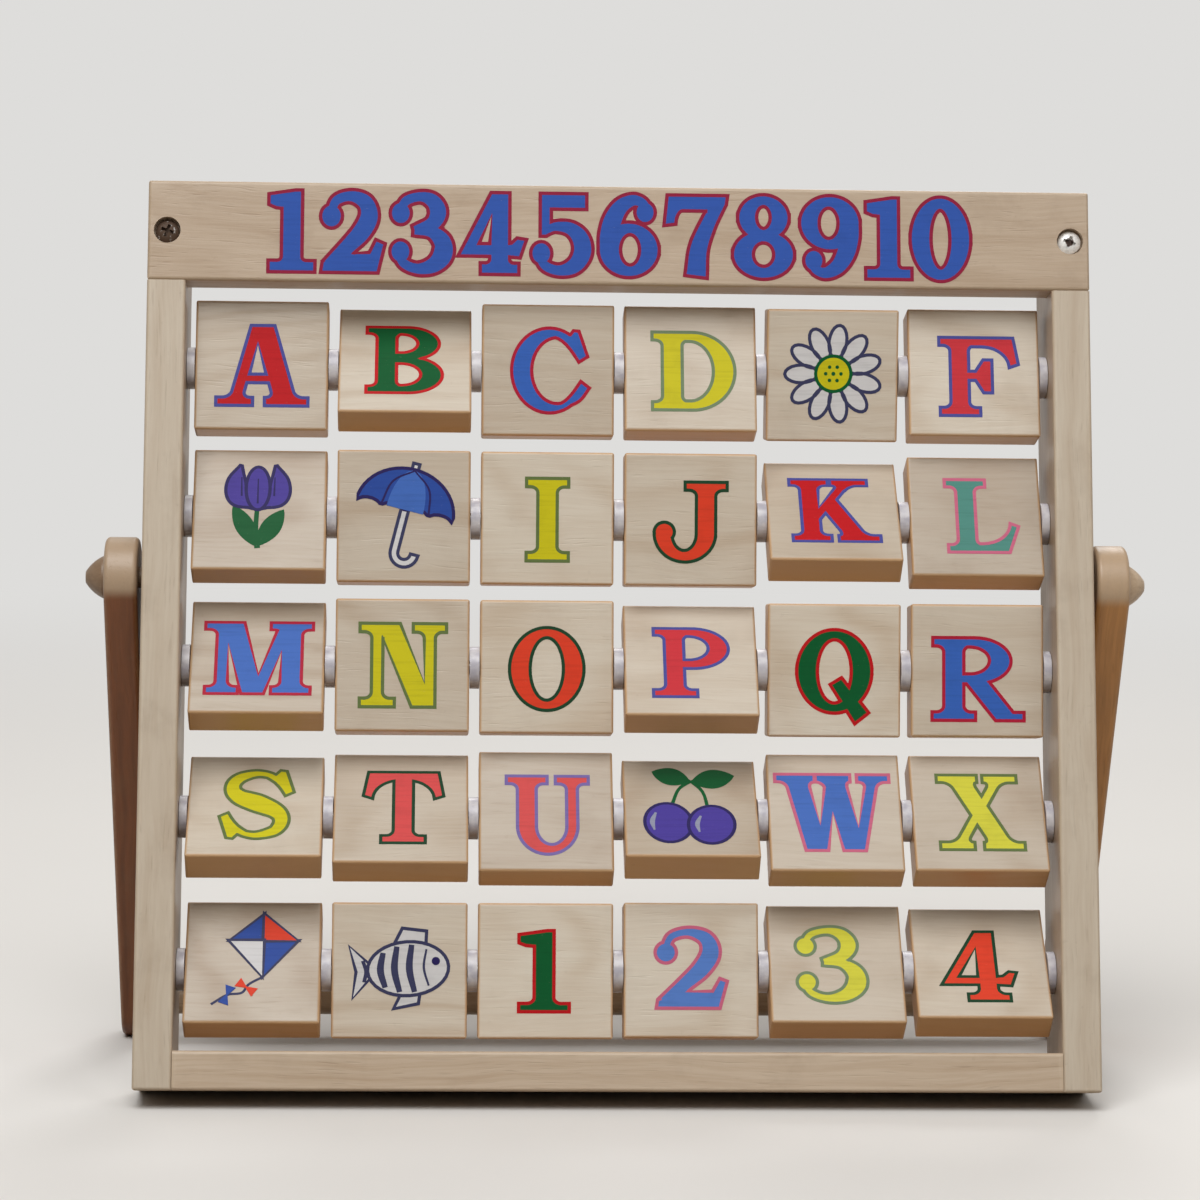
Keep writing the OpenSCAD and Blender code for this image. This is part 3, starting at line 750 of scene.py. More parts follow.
letterStrokes = {
    "A": [slant(0.21, 0, 0.47, 1, 0.13), slant(0.83, 0, 0.55, 1, 0.25), rect(0.33, 0.29, 0.7, 0.38),
          foot(0.21, 0.42, 0.13, 0.26), foot(0.83, 0.5, 0.25, -0.28)],
    "B": [*post(0.24, 0.23, 0.48, 0.48),
          band((0.5, 0.755, 0.38, 0.245), (0.42, 0.755, 0.21, 0.15), -90, 90),
          band((0.5, 0.27, 0.42, 0.27), (0.42, 0.275, 0.25, 0.175), -90, 90),
          rect(0.24, 0.905, 0.5, 1), rect(0.24, 0.45, 0.5, 0.605), rect(0.24, 0, 0.5, 0.1)],
    "C": [roundStroke, topBeak,
          ribbon([(0.6, 0.046), (0.72, 0.09), (0.85, 0.18), (0.955, 0.32)], [0.03, 0.06, 0.115, 0.12])],
    "D": [*post(0.24, 0.22, 0.46, 0.46),
          band((0.48, 0.5, 0.5, 0.5), (0.45, 0.5, 0.29, 0.4), -90, 90),
          rect(0.24, 0.9, 0.48, 1), rect(0.24, 0, 0.48, 0.1)],
    "E": [*post(0.24, 0.22, 0.48, 0.48), rect(0.24, 0.9, 0.6, 1),
          rect(0.24, 0, 0.6, 0.1), rect(0.24, 0.46, 0.58, 0.55), hangingBeak, raisedBeak,
          loop((0.46, 0.46), (0.56, 0.32), (0.65, 0.32), (0.65, 0.69), (0.56, 0.69), (0.46, 0.55))],
    "F": [*post(0.25, 0.22, 0.5, 0.5), rect(0.24, 0.9, 0.6, 1), rect(0.24, 0.46, 0.58, 0.56), hangingBeak,
          loop((0.46, 0.46), (0.56, 0.3), (0.66, 0.3), (0.66, 0.71), (0.56, 0.71), (0.46, 0.56))],
    "G": [roundStroke, topBeak, stem(0.82, 0.23, 0.06, 0.42), rect(0.62, 0.37, 1.04, 0.45)],
    "H": [stem(0.24, 0.22), stem(0.88, 0.22), rect(0.24, 0.45, 0.88, 0.55), head(0.24, 0.48, 0.22),
          foot(0.24, 0.48, 0.22), head(0.88, 0.48, 0.22), foot(0.88, 0.48, 0.22)],
    "I": post(0.25, 0.22, 0.5, 0.5),
    "J": [stem(0.63, 0.22, 0.32, 1), head(0.63, 0.5, 0.22),
          band((0.37, 0.34, 0.37, 0.36), (0.36, 0.34, 0.16, 0.23), 180, 360), disc(0.115, 0.36, 0.115)],
    "K": [*post(0.25, 0.22, 0.48, 0.48),
          slant(0.28, 0.33, 0.76, 1, 0.13), loop((0.725, 0), (0.995, 0), (0.562, 0.725), (0.415, 0.52)),
          head(0.77, 0.46, 0.13, 0.72), foot(0.86, 0.52, 0.27, -0.6)],
    "L": [*post(0.27, 0.23, 0.52, 0.5), rect(0.27, 0, 0.6, 0.1), raisedBeak],
    "M": [stem(0.22, 0.13), foot(0.22, 0.38, 0.13), stem(1.06, 0.24), foot(1.06, 0.46, 0.24),
          slant(0.6, 0, 0.34, 1, 0.26), slant(0.655, 0, 1.0, 1, 0.15),
          head(0.22, 0.42, 0.13), head(1.06, 0.5, 0.24)],
    "N": [stem(0.22, 0.12), foot(0.22, 0.42, 0.12), stem(0.88, 0.12), head(0.88, 0.4, 0.12),
          slant(0.8, 0, 0.36, 1, 0.28), head(0.22, 0.42, 0.12)],
    "O": ring((0.46, 0.5, 0.46, 0.52), (0.46, 0.5, 0.22, 0.41)),
    "P": [*post(0.25, 0.22, 0.48, 0.52),
          band((0.48, 0.71, 0.43, 0.29), (0.43, 0.715, 0.25, 0.185), -90, 90),
          rect(0.25, 0.9, 0.48, 1), rect(0.25, 0.42, 0.48, 0.53)],
    "Q": ring((0.46, 0.5, 0.46, 0.52), (0.46, 0.5, 0.22, 0.41))
    + [loop((0.42, 0.33), (0.55, 0.41), (0.88, -0.02), (0.72, -0.15))],
    "R": [*post(0.26, 0.23, 0.5, 0.52),
          band((0.52, 0.725, 0.44, 0.275), (0.46, 0.73, 0.25, 0.175), -90, 90), rect(0.26, 0.905, 0.52, 1),
          rect(0.26, 0.45, 0.52, 0.555), slant(0.92, 0, 0.52, 0.5, 0.28), rect(0.8, 0, 1.12, 0.085)],
    "S": [ribbon([(0.74, 0.87), (0.62, 0.94), (0.45, 0.965), (0.27, 0.915), (0.175, 0.84), (0.145, 0.755),
                  (0.17, 0.67), (0.25, 0.6), (0.36, 0.555), (0.47, 0.515), (0.58, 0.47), (0.69, 0.415),
                  (0.765, 0.345), (0.79, 0.255), (0.76, 0.165), (0.68, 0.09), (0.48, 0.035), (0.31, 0.06),
                  (0.19, 0.13)],
                 [0.06, 0.075, 0.09, 0.13, 0.16, 0.18, 0.195, 0.215, 0.24, 0.255,
                  0.24, 0.215, 0.195, 0.18, 0.16, 0.13, 0.09, 0.075, 0.06]),
          sBeak, np.array([0.93, 1.0]) - sBeak],
    "T": [stem(0.5, 0.23), foot(0.5, 0.54, 0.23), rect(0.3, 0.9, 0.7, 1), hangingBeak,
          mirrored(hangingBeak, 0.5)],
    "U": [stem(0.255, 0.22, 0.33, 1), stem(0.83, 0.12, 0.33, 1), head(0.255, 0.5, 0.22),
          head(0.83, 0.4, 0.12), band((0.5175, 0.34, 0.3725, 0.36), (0.5675, 0.34, 0.2025, 0.25), 180, 360)],
    "V": [slant(0.52, 0, 0.28, 1, 0.27), slant(0.59, 0, 0.86, 1, 0.13), head(0.28, 0.54, 0.27, -0.24),
          head(0.86, 0.4, 0.13, 0.27)],
    "W": [slant(0.47, 0, 0.24, 1, 0.26), slant(0.535, 0, 0.7, 1, 0.13), slant(0.93, 0, 0.7, 1, 0.26),
          slant(0.995, 0, 1.2, 1, 0.13), head(0.24, 0.48, 0.26, -0.23), head(0.7, 0.42, 0.26, -0.23),
          head(1.2, 0.38, 0.13, 0.2)],
    "X": [slant(0.82, 0, 0.27, 1, 0.28), slant(0.22, 0, 0.82, 1, 0.13), head(0.27, 0.5, 0.28, -0.55),
          head(0.82, 0.42, 0.13, 0.6), foot(0.22, 0.42, 0.13, 0.6), foot(0.82, 0.5, 0.28, -0.55)],
    "Y": [slant(0.53, 0.42, 0.26, 1, 0.25), slant(0.59, 0.42, 0.84, 1, 0.13), stem(0.53, 0.25, 0, 0.45),
          foot(0.53, 0.54, 0.25), head(0.26, 0.5, 0.25, -0.46), head(0.84, 0.4, 0.13, 0.43)],
    "Z": [rect(0.1, 0.9, 0.86, 1), rect(0.04, 0, 0.6, 0.1), slant(0.19, 0, 0.71, 1, 0.29), raisedBeak,
          raisedBeak * [-1, -1] + [0.95, 1.0]],
    "0": ring((0.42, 0.5, 0.42, 0.52), (0.42, 0.5, 0.18, 0.41)),
    "1": [stem(0.31, 0.23, 0, 0.95), foot(0.31, 0.62, 0.23),
          loop((0, 0.95), (0, 0.86), (0.08, 0.83), (0.2, 0.82), (0.425, 0.88), (0.425, 1.0), (0.36, 1.0))],
    "2": [ribbon([(0.12, 0.72), (0.2, 0.9), (0.42, 0.96), (0.63, 0.88), (0.69, 0.7), (0.58, 0.5),
                  (0.38, 0.31), (0.105, 0.06)], [0.1, 0.1, 0.11, 0.18, 0.23, 0.22, 0.18, 0.15]),
          disc(0.13, 0.7, 0.125),
          loop((0.02, 0), (0.8, 0), (0.89, 0.33), (0.81, 0.36), (0.72, 0.2), (0.3, 0.2), (0.035, 0.09))],
    "3": [ribbon([(0.1, 0.76), (0.2, 0.91), (0.42, 0.965), (0.6, 0.905), (0.675, 0.76), (0.58, 0.61),
                  (0.34, 0.53)], [0.1, 0.1, 0.1, 0.17, 0.215, 0.16, 0.09]),
          ribbon([(0.34, 0.53), (0.58, 0.51), (0.74, 0.38), (0.75, 0.22), (0.61, 0.08), (0.38, 0.03),
                  (0.17, 0.1), (0.08, 0.25)], [0.09, 0.13, 0.22, 0.25, 0.18, 0.11, 0.1, 0.1]),
          disc(0.12, 0.75, 0.12), disc(0.12, 0.25, 0.12)],
    "4": [stem(0.58, 0.22), foot(0.58, 0.5, 0.22), rect(0.09, 0.235, 0.8, 0.335),
          slant(0.085, 0.235, 0.535, 1, 0.13),
          loop((0.66, 0.335), (0.66, 0.235), (0.86, 0.22), (0.93, 0.4), (0.85, 0.41), (0.77, 0.345))],
    "5": [rect(0.14, 0.86, 0.76, 1),
          loop((0.14, 0.505), (0.185, 0.505), (0.25, 0.54), (0.23, 0.6), (0.23, 1.0), (0.14, 1.0)),
          ribbon([(0.17, 0.54), (0.33, 0.6), (0.55, 0.575), (0.7, 0.45), (0.735, 0.27), (0.62, 0.1),
                  (0.4, 0.03), (0.18, 0.09), (0.08, 0.25)],
                 [0.07, 0.09, 0.14, 0.21, 0.23, 0.18, 0.11, 0.1, 0.1]),
          disc(0.12, 0.25, 0.12)],
    "6": sixStrokes,
    "7": [loop((0.1, 0.86), (0.8, 0.86), (0.856, 0.92), (0.87, 1.0), (0.1, 1.0)),
          np.vstack([bow(0.24, 0.66, 0.14, 0.2, 90, 174), [[0.0, 0.67], [0.04, 1.0], [0.24, 1.0]]]),
          ribbon([(0.795, 0.955), (0.62, 0.66), (0.48, 0.34), (0.44, 0.0)], [0.14, 0.17, 0.22, 0.26])],
    "8": ring((0.44, 0.75, 0.35, 0.27), (0.44, 0.755, 0.14, 0.175))
    + ring((0.44, 0.27, 0.43, 0.29), (0.44, 0.27, 0.19, 0.185)),
    "9": [np.array([0.86, 1.0]) - s for s in sixStrokes],
}


# plain picture motifs, in millimetres about the tile's centre
def ellipse(x, y, radiusX, radiusY, turn=0.0, count=32):
    # one radius times the cosine and the other times the sine, turned and moved to x, y
    a = np.linspace(0, 2 * np.pi, count, endpoint=False)
    return placed(np.stack([radiusX * np.cos(a), radiusY * np.sin(a)], 1), x, y, turn)


def placed(points, x=0.0, y=0.0, turn=0.0, scale=1.0):
    # points scaled, turned by degrees about 0, 0 and moved to x, y
    c, s = math.cos(math.radians(turn)), math.sin(math.radians(turn))
    return np.array(points) * scale @ np.array([[c, s], [-s, c]]) + [x, y]


def arc(x, y, radius, start, stop, width, steps=14):
    # a bent bar: out along a circle half a width larger than the radius, and back along one as much smaller
    a = np.radians(np.linspace(start, stop, steps))
    return np.vstack([np.stack([x + r * np.cos(b), y + r * np.sin(b)], 1)
                      for r, b in ((radius + width / 2, a), (radius - width / 2, a[::-1]))])


def leafShape(x, y, length, width, turn):
    # a sine arch above the midrib and its mirror below
    t = np.linspace(0, 1, 14)
    arch = np.stack([t * length, width / 2 * np.sin(np.pi * t) ** 0.8], 1)
    return placed(np.vstack([arch, (arch * [1, -1])[-2:0:-1]])[::-1], x, y, turn)


def rays(count, inner, outer, start=90.0):
    # a star: corners at even steps of angle, on the outer and the inner radius in turn
    a = np.radians(start + np.arange(2 * count) * 180 / count)
    r = np.where(np.arange(2 * count) % 2 == 0, outer, inner)
    return np.stack([r * np.cos(a), r * np.sin(a)], 1)


def daisy(petal="white", line="slate", heart="yellow"):
    # eleven ellipses along the rays of a circle, round a heart with seven seeds
    petals = [ellipse(8.0 * math.cos(a), 8.0 * math.sin(a), 3.9, 2.0, math.degrees(a), 20)
              for a in np.arange(11) * 2 * np.pi / 11 + 0.3]
    seeds = [disc(1.9 * math.cos(a), 1.9 * math.sin(a), 0.45) for a in np.arange(6) * np.pi / 3]
    return [(petals, petal, line), ([ellipse(0, 0, 4.2, 4.2)], heart, "green"),
            (seeds + [disc(0, 0, 0.5)], "green", None)]


def tulip(bloom="violet", leafInk="green"):
    # the cup is a bent ribbon and its mirror with an ellipse between, and the front petal a narrower ellipse
    stalk = [ribbon([(0.6, -12), (0.1, -6), (0.4, 1)], [1.5, 1.3, 1.2])]
    leaves = [leafShape(0.4, -11.6, 13.5, 5.0, 118), leafShape(0.6, -11.4, 12.5, 5.2, 58)]
    side = ribbon([(-1.5, 0.2), (-4.9, 2.6), (-5.2, 7.0), (-4.2, 11.6)], [1.0, 4.4, 4.4, 0.3])
    cup = [side, mirrored(side, 0.4), ellipse(0.4, 3.4, 5.0, 4.0)]
    front = ellipse(0.4, 5.2, 2.9, 6.0)
    ribs = [ribbon([(0.4, 0.8), (0.4, 8.0)], [0.5, 0.3]), ribbon([(-3.8, 3.0), (-3.9, 8.4)], [0.5, 0.3]),
            ribbon([(4.6, 3.0), (4.7, 8.4)], [0.5, 0.3])]
    return [(stalk + leaves, leafInk, None), (cup, bloom, "deepViolet"), ([front], bloom, "deepViolet"),
            (ribs, "deepViolet", None)]


def umbrella(cloth="blue", second="midBlue", handle="white"):
    # the cover is half an ellipse with four scallops along its lower edge, each half of a small ellipse, and
    # the panel on it is half of a narrower one
    a = np.radians(np.linspace(0, 180, 25))
    dome = np.stack([12 * np.cos(a), 1 + 10.5 * np.sin(a)], 1)
    b = np.linspace(0, np.pi, 8)[1:-1]
    scallops = [np.stack([-12 + 3 + 6 * k - 3 * np.cos(b), 1 + 1.5 * np.sin(b)], 1) for k in range(4)]
    cover = np.vstack([dome, *scallops])
    stick = [rect(-0.75, -9, 0.75, 2), arc(2.5, -9, 2.5, 180, 360, 1.5)]
    panel = np.stack([4.6 * np.cos(a), 1.4 + 10.0 * np.sin(a)], 1)
    ribs = [ribbon([(way * 6, 1.6), (way * 4.6, 7.6), (0, 11.4)], [0.5, 0.5, 0.4]) for way in (-1, 1)]
    return [(stick, handle, "slate"), ([rect(-0.6, 11, 0.6, 13)], handle, "slate"),
            ([cover], cloth, "deepViolet"), ([panel], second, None), (ribs, "deepViolet", None)]


def plums(fruit="violet", leafInk="green"):
    # two ellipses on bent stalks that meet under two leaves, each with a bent ribbon of light
    stalks = [ribbon([low, middle, (1.2, 9.2)], [0.9, 0.8, 1.2])
              for low, middle in (((-3.6, 1), (-1.8, 6.2)), ((4.8, 0), (3.8, 5.4)))]
    leaves = [leafShape(1.2, 8.6, 10.5, 6.2, 12), leafShape(1.0, 8.8, 9.5, 5.6, 160)]
    fruits = [[ellipse(-4.6, -4.6, 5.3, 6.1, 8)], [ellipse(5.4, -5.2, 5.2, 5.9, -10)]]
    shine = [ribbon([(-7.4, -1.4), (-8.3, -4.2), (-7.9, -7.0)], [0.5, 1.2, 0.4]),
             ribbon([(3.0, -2.4), (2.1, -5.0), (2.5, -7.6)], [0.5, 1.1, 0.4])]
    return [(stalks, leafInk, None), (leaves, leafInk, None), (fruits[0], fruit, "deepViolet"),
            (fruits[1], fruit, "deepViolet"), (shine, "grey", None)]


def kite(first="blue", second="orangeRed"):
    # four triangles about the crossing of the sticks, a bent tail and two bows turned to it
    top, left, low, side, cross = (1.5, 12), (-6.5, 5.0), (1.5, -4.5), (9.5, 5.0), (1.5, 5.0)
    tail = [ribbon([(1.5, -4.5), (-1.6, -6.4), (-3.2, -8.6), (-6.6, -9.2), (-10.2, -11.6)], [0.6] * 5)]
    bows = [placed([(-2.4, -1.3), (0, -0.2), (2.4, -1.3), (2.4, 1.3), (0, 0.2), (-2.4, 1.3)], x, y, turn)
            for x, y, turn in ((-2.2, -7.2, -35), (-6.6, -9.2, 70))]
    return [(tail, "slate", None),
            ([loop(top, left, cross)], first, "slate"), ([loop(cross, low, side)], first, "slate"),
            ([loop(top, cross, side)], second, "slate"), ([loop(left, low, cross)], "white", "slate"),
            ([bows[0]], second, None), ([bows[1]], first, None)]


def fish(skin="white", stripe="slate"):
    # an ellipse with a forked tail and two fins, and bent bars across it
    body = ellipse(1.2, 0, 9.6, 6.3)
    tail = loop((-6.6, 0), (-12.6, 6.2), (-11.2, 0), (-12.6, -6.2))
    fins = [loop((-2, 5.4), (0.5, 9.6), (6.0, 8.6), (5.6, 5.0)),
            loop((-0.5, -5.6), (-2.6, -9.2), (3.0, -8.4), (3.6, -5.6))]
    bars = [ribbon([(x, y), (x - 0.9, 0), (x, -y)], [1.3, 1.7, 1.3])
            for x, y in ((-4.6, 4.2), (-1.2, 5.5), (2.4, 5.7))]
    tailBars = [ribbon([(-9.6, 2.6), (-9.0, 0), (-9.6, -2.6)], [0.9, 0.9, 0.9])]
    gill = ribbon([(5.9, 4.4), (5.0, 0), (5.9, -4.4)], [0.5, 0.6, 0.5])
    return [(fins + [tail], skin, stripe), ([body], skin, stripe), (bars + tailBars, stripe, None),
            ([gill], stripe, None), ([disc(8.0, 1.4, 1.0)], "deepViolet", None)]


def plainShape(kind):
    # simple one-colour shapes for the backs of the tiles, from points, rays, discs and curves of one angle
    a = np.linspace(0, 2 * np.pi, 48, endpoint=False)
    if kind == "star":
        return [rays(5, 4.9, 11.5)]
    if kind == "heart":  # x is the cube of the sine, y a sum of four cosines
        x = 10.5 * np.sin(a) ** 3
        y = 8.6 * np.cos(a) - 3.3 * np.cos(2 * a) - 1.3 * np.cos(3 * a) - 0.7 * np.cos(4 * a)
        return [np.stack([x, y + 1.2], 1)[::-1]]
    if kind == "moon":  # an arc of a circle, and back along an arc of a smaller circle to its right
        b = np.radians(np.linspace(55.1, 304.9, 30))
        c = np.radians(np.linspace(281.2, 78.8, 30)[1:-1])
        outside = np.stack([2 + 11 * np.cos(b), 11 * np.sin(b)], 1)
        return [np.vstack([outside, np.stack([6.5 + 9.2 * np.cos(c), 9.2 * np.sin(c)], 1)])]
    if kind == "drop":  # y is the cosine, and x the sine times a power of the half angle's sine
        return [np.stack([7.6 * np.sin(a) * np.sin(a / 2) ** 1.4, 11 * np.cos(a)], 1)[::-1]]
    if kind == "leaf":
        return [leafShape(-8.5, -8.5, 24, 11, 45), ribbon([(-11.5, -11.2), (-8.5, -8.5)], [1.0, 1.4])]
    if kind == "sun":
        return [rays(12, 7.4, 12.2)]
    if kind == "cloud":
        return [disc(-5.5, -2, 5.2), disc(5.8, -2.4, 4.8), disc(0.4, 2.6, 6.2), rect(-5.5, -7.2, 5.8, -2)]
    if kind == "gem":
        return [loop((-11, 3), (0, -11), (11, 3), (6.5, 9), (-6.5, 9))]
    if kind == "apple":  # a circle with wide shoulders and a bell-shaped dip at the top
        x = 9.4 * np.sin(a) * (1 - 0.12 * np.cos(2 * a))
        dip = 2.6 * np.exp(-(x / 3.2) ** 2) * (np.cos(a) > 0)
        return [np.stack([x, 8.6 * np.cos(a) - dip - 1.6], 1)[::-1],
                ribbon([(0, 3), (0.4, 7), (1.8, 10)], [0.9, 0.9, 1.3]), leafShape(1.2, 7.4, 8, 4, 18)]
    if kind == "house":
        return [loop((-8, -10.5), (8, -10.5), (8, 1), (12, 1), (0, 11.5), (-12, 1), (-8, 1))]
    if kind == "tree":
        return [loop((-8.5, -6.5), (8.5, -6.5), (0, 3)), loop((-7, -1), (7, -1), (0, 7.5)),
                loop((-5.2, 4), (5.2, 4), (0, 12)), rect(-1.6, -11.5, 1.6, -6)]
    return [ellipse(0, 0, 10.6, 10.6)]


def letterShape(mark, height=letterForm["height"]):
    # a letter's strokes times the height of its capitals in millimetres
    return [stroke * height for stroke in letterStrokes[mark]]


def centred(layers, x=0.0, y=0.0, turn=0.0, scale=1.0):
    # moves the middle of a print's box to x, y
    everything = np.vstack([stroke for strokes, _, _ in layers for stroke in strokes])
    middle = (everything.min(axis=0) + everything.max(axis=0)) / 2
    return [([placed(stroke - middle, x, y, turn, scale) for stroke in strokes], fill, line)
            for strokes, fill, line in layers]


# front of each tile: fill ink, line ink, the print's offset in millimetres, its width and height as shares
letterPrints = {
    "a": ("red", "iris", 0.2, -0.2, 1.03, 1), "b": ("green", "red", -0.2, -0.1, 1, 1.03),
    "c": ("azure", "crimson", 0.7, -0.1, 0.96, 1), "d": ("yellow", "paleMoss", 0.9, -0.9, 1.04, 1),
    "f": ("pinkRed", "iris", 1.5, -1.3, 0.97, 0.99), "i": ("yellow", "moss", 0, -0.4, 1, 1),
    "j": ("orangeRed", "pine", 0, -0.7, 1, 0.95), "k": ("red", "iris", 0.5, 0, 0.96, 1.03),
    "l": ("teal", "pink", 1.9, 0, 0.93, 0.98), "m": ("midBlue", "crimson", 0.3, -0.6, 1, 1.03),
    "n": ("yellow", "moss", 0.2, -0.1, 0.97, 1.01), "o": ("orangeRed", "pine", 0, -0.6, 0.97, 0.96),
    "p": ("pinkRed", "iris", 0, -1.1, 1, 1), "q": ("green", "red", 0, -1.7, 0.99, 0.97),
    "r": ("azure", "crimson", 0.2, -2.4, 1, 1), "s": ("yellow", "moss", 0.4, 0.3, 0.94, 1.09),
    "t": ("coral", "pine", 0.7, 0, 0.96, 1.05), "u": ("coral", "lilac", 0.4, -1.4, 0.96, 1.03),
    "w": ("midBlue", "pink", -0.4, -0.2, 1, 1.05), "x": ("lemon", "moss", 0.4, 0, 0.96, 1.04),
    "1": ("green", "red", -0.4, 0, 0.96, 0.96), "2": ("sky", "pink", 0, 0.7, 0.97, 0.95),
    "3": ("lemon", "paleMoss", -1.3, -0.5, 0.95, 1.01), "4": ("orangeRed", "pine", -0.8, -1.4, 0.99, 1.02),
}
# the picture, its offset in millimetres, its turn in degrees and its scale
picturePrints = {
    "e": (daisy, 0, 0.6, 0, 1.16), "g": (tulip, -0.6, 0.6, 0, 1.1), "h": (umbrella, 0, 0.6, -14, 1.16),
    "v": (plums, 0, 0.8, 0, 1.22), "y": (kite, 0.5, 0.6, 0, 1.2), "z": (fish, 0, 0.6, 4, 1.16),
}
backKinds = ["star", "heart", "moon", "drop", "leaf", "sun", "cloud", "gem", "apple", "house", "tree", "ball"]
backInks = [("red", "blue"), ("green", "red"), ("blue", "red"), ("yellow", "green"), ("orangeRed", "green"),
            ("pinkRed", "blue"), ("midBlue", "pink"), ("teal", "pink"), ("coral", "blue"),
            ("violet", "green")]
# steps through the two lists, so that neighbouring tiles differ
kindStep = 5
inkStep = 3

for number, mark in enumerate(tileMarks):
    centre, up, out, halfThick = tileFrames[mark]
    body = "tile_" + mark
    backPair = backInks[number * inkStep % len(backInks)]
    if mark in letterPrints:
        fill, line, x, y, wide, tall = letterPrints[mark]
        front = centred([([stroke * [wide, tall] for stroke in letterShape(mark.upper())], fill, line)], x, y)
        back = [(plainShape(backKinds[number * kindStep % len(backKinds)]), *backPair)]
    else:
        picture, x, y, turn, scale = picturePrints[mark]
        front = centred(picture(), x, y, turn, scale)
        back = [(letterShape(mark.upper()), *backPair)]
    makePrint("print_" + mark + "_front", front, centre + out * halfThick, right, up, body)
    makePrint("print_" + mark + "_back", centred(back), centre - out * halfThick, right, -up, body)
print("tiles printed")

# the header carries plain numbers, drawn bolder than the tiles' and set close together, in millimetres
headerLook = {"count": 10, "height": 22.5, "width": 200.0, "gap": 2.2, "digitGap": 1.2, "bolder": 0.5,
              "overlap": 0.1, "fill": "royal", "line": "wine"}
headerPrintLook = {**printLook, "lineOut": 0.75}


def headerPrint(look):
    # digits set side by side, each where the one before it ends plus a gap, then x is scaled to the line's
    # width and the strokes grow along their rim
    strokes, place = [], 0.0
    for number in range(1, look["count"] + 1):
        for digit in str(number):
            shape = letterShape(digit, look["height"])
            reach = np.vstack(shape)[:, 0]
            strokes += [stroke + [place - reach.min(), 0] for stroke in shape]
            place += reach.max() - reach.min() + look["digitGap"]
        place += look["gap"]
    reach = np.vstack(strokes)[:, 0]
    squeeze = look["width"] / (reach.max() - reach.min())
    strokes = [stroke * [squeeze, 1] for stroke in strokes]
    strokes += rimStrokes(*sheetOf(strokes), look["overlap"], look["bolder"])
    return centred([(strokes, look["fill"], look["line"])])


headerMiddle, headerHalf = boxFrame("header_rail", boardAxes["along"])
makePrint("print_header", headerPrint(headerLook), headerMiddle + boardOut * headerHalf[2], right, boardUp,
          "board", headerPrintLook)
print("header printed")

# floor and backdrop: colours, where the floor fades into the backdrop and the radius of the flat part and of
# the rim in metres, the mesh's steps, and the world's strength and tint
stageLook = {
    "floor": (226, 224, 221), "shade": (156, 144, 128), "backdrop": (222, 221, 219), "near": 0.45, "far": 1.8,
    "flat": 3.0, "rim": 2.2, "flatSteps": 12, "rimSteps": 16, "around": 96, "world": 0.33,
    "worldTint": (1.0, 0.95, 0.88, 1.0),
}
# lamps: place and width in metres, power in watts
lampLooks = {
    "keyLamp": {"place": (-0.35, -1.2, 1.8), "size": 1.5, "power": 35.0},
    "fillLamp": {"place": (1.3, -1.4, 1.5), "size": 1.2, "power": 6.5},
    "backLamp": {"place": (0.3, 1.5, 1.6), "size": 1.0, "power": 15.0},
}
lampAim = Vector((0, 0, 0.12))


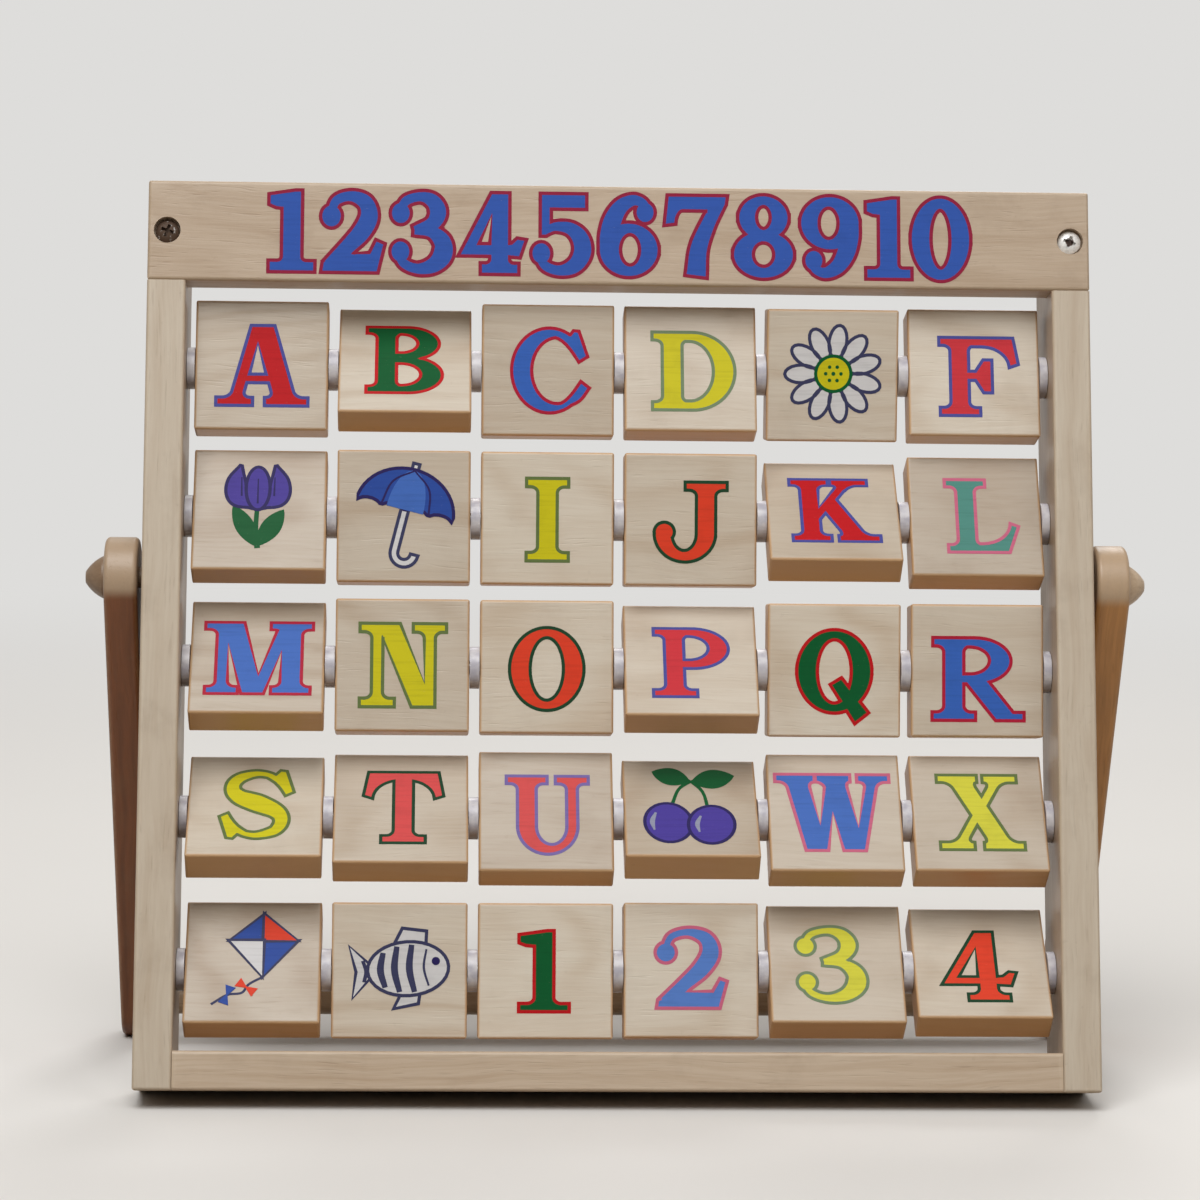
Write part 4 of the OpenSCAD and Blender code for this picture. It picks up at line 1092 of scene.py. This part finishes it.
def makeFloor(look):
    # a round floor whose rim curves up: the radius grows to the flat part's edge, then both radius and height
    # follow a quarter circle; the profile is carried once round the middle
    around = look["around"]
    flat = np.linspace(0.05, look["flat"], look["flatSteps"])
    bend = np.linspace(0, np.pi / 2, look["rimSteps"])[1:]
    radius = np.concatenate([flat, look["flat"] + look["rim"] * np.sin(bend)])
    height = np.concatenate([np.zeros(len(flat)), look["rim"] * (1 - np.cos(bend))])
    turn = np.linspace(0, 2 * np.pi, around, endpoint=False)
    points = np.stack([np.outer(radius, np.cos(turn)), np.outer(radius, np.sin(turn)),
                       np.repeat(height[:, None], around, 1)], 2).reshape(-1, 3)
    hoop, side = np.meshgrid(np.arange(len(radius) - 1), np.arange(around), indexing="ij")
    a, b = hoop * around + side, hoop * around + (side + 1) % around
    quads = np.stack([a, a + around, b + around, b], 2).reshape(-1, 4)
    mesh = bpy.data.meshes.new("floor")
    mesh.from_pydata(points.tolist(), [], quads.tolist() + [list(range(around))])
    mesh.polygons.foreach_set("use_smooth", [True] * len(mesh.polygons))
    floor = addObject("floor", mesh)
    material, tree, shader, place = newMaterial("paleFloor")
    # camera, glossy and clear rays meet the pale floor, and far from the object a plain pale glow; the light
    # that the floor throws back on the object comes from a greyer shade
    paths = addNode(tree, "ShaderNodeLightPath").outputs
    glossyOrClear = calc(tree, "MAXIMUM", paths["Is Glossy Ray"], paths["Is Transmission Ray"])
    seen = calc(tree, "MAXIMUM", paths["Is Camera Ray"], glossyOrClear)
    soft = noise(tree, place, (3, 3, 3), 2.0)
    pale = mixColour(tree, soft, colour(*look["floor"]), colour(*[c - 4 for c in look["floor"]]))
    plug(tree, shader.inputs, {
        "Base Color": mixColour(tree, seen, colour(*look["shade"]), pale), "Roughness": 0.85})
    reach = ramp(tree, vectorCalc(tree, "LENGTH", place, output="Value"), look["near"], look["far"])
    glow = addNode(tree, "ShaderNodeEmission", {"Color": colour(*look["backdrop"])}).outputs[0]
    share = calc(tree, "MULTIPLY", seen, reach)
    both = addNode(tree, "ShaderNodeMixShader", {0: share, 1: shader.outputs[0], 2: glow})
    plug(tree, tree.nodes["Material Output"].inputs, {"Surface": both.outputs[0]})
    mesh.materials.append(material)


def makeLamp(name, look):
    data = bpy.data.lights.new(name, "AREA")
    data.shape = "DISK"
    data.size = look["size"]
    data.energy = look["power"]
    lamp = addObject(name, data)
    lamp.location = look["place"]
    lamp.rotation_euler = (lampAim - Vector(look["place"])).to_track_quat("-Z", "Y").to_euler()


makeFloor(stageLook)
for name, look in lampLooks.items():
    makeLamp(name, look)
world = bpy.data.worlds.new("paleRoom")
world.use_nodes = True
plug(world.node_tree, world.node_tree.nodes["Background"].inputs,
     {"Color": stageLook["worldTint"], "Strength": stageLook["world"]})
bpy.context.scene.world = world
bpy.context.scene.view_settings.view_transform = "Standard"
print("stage lit")
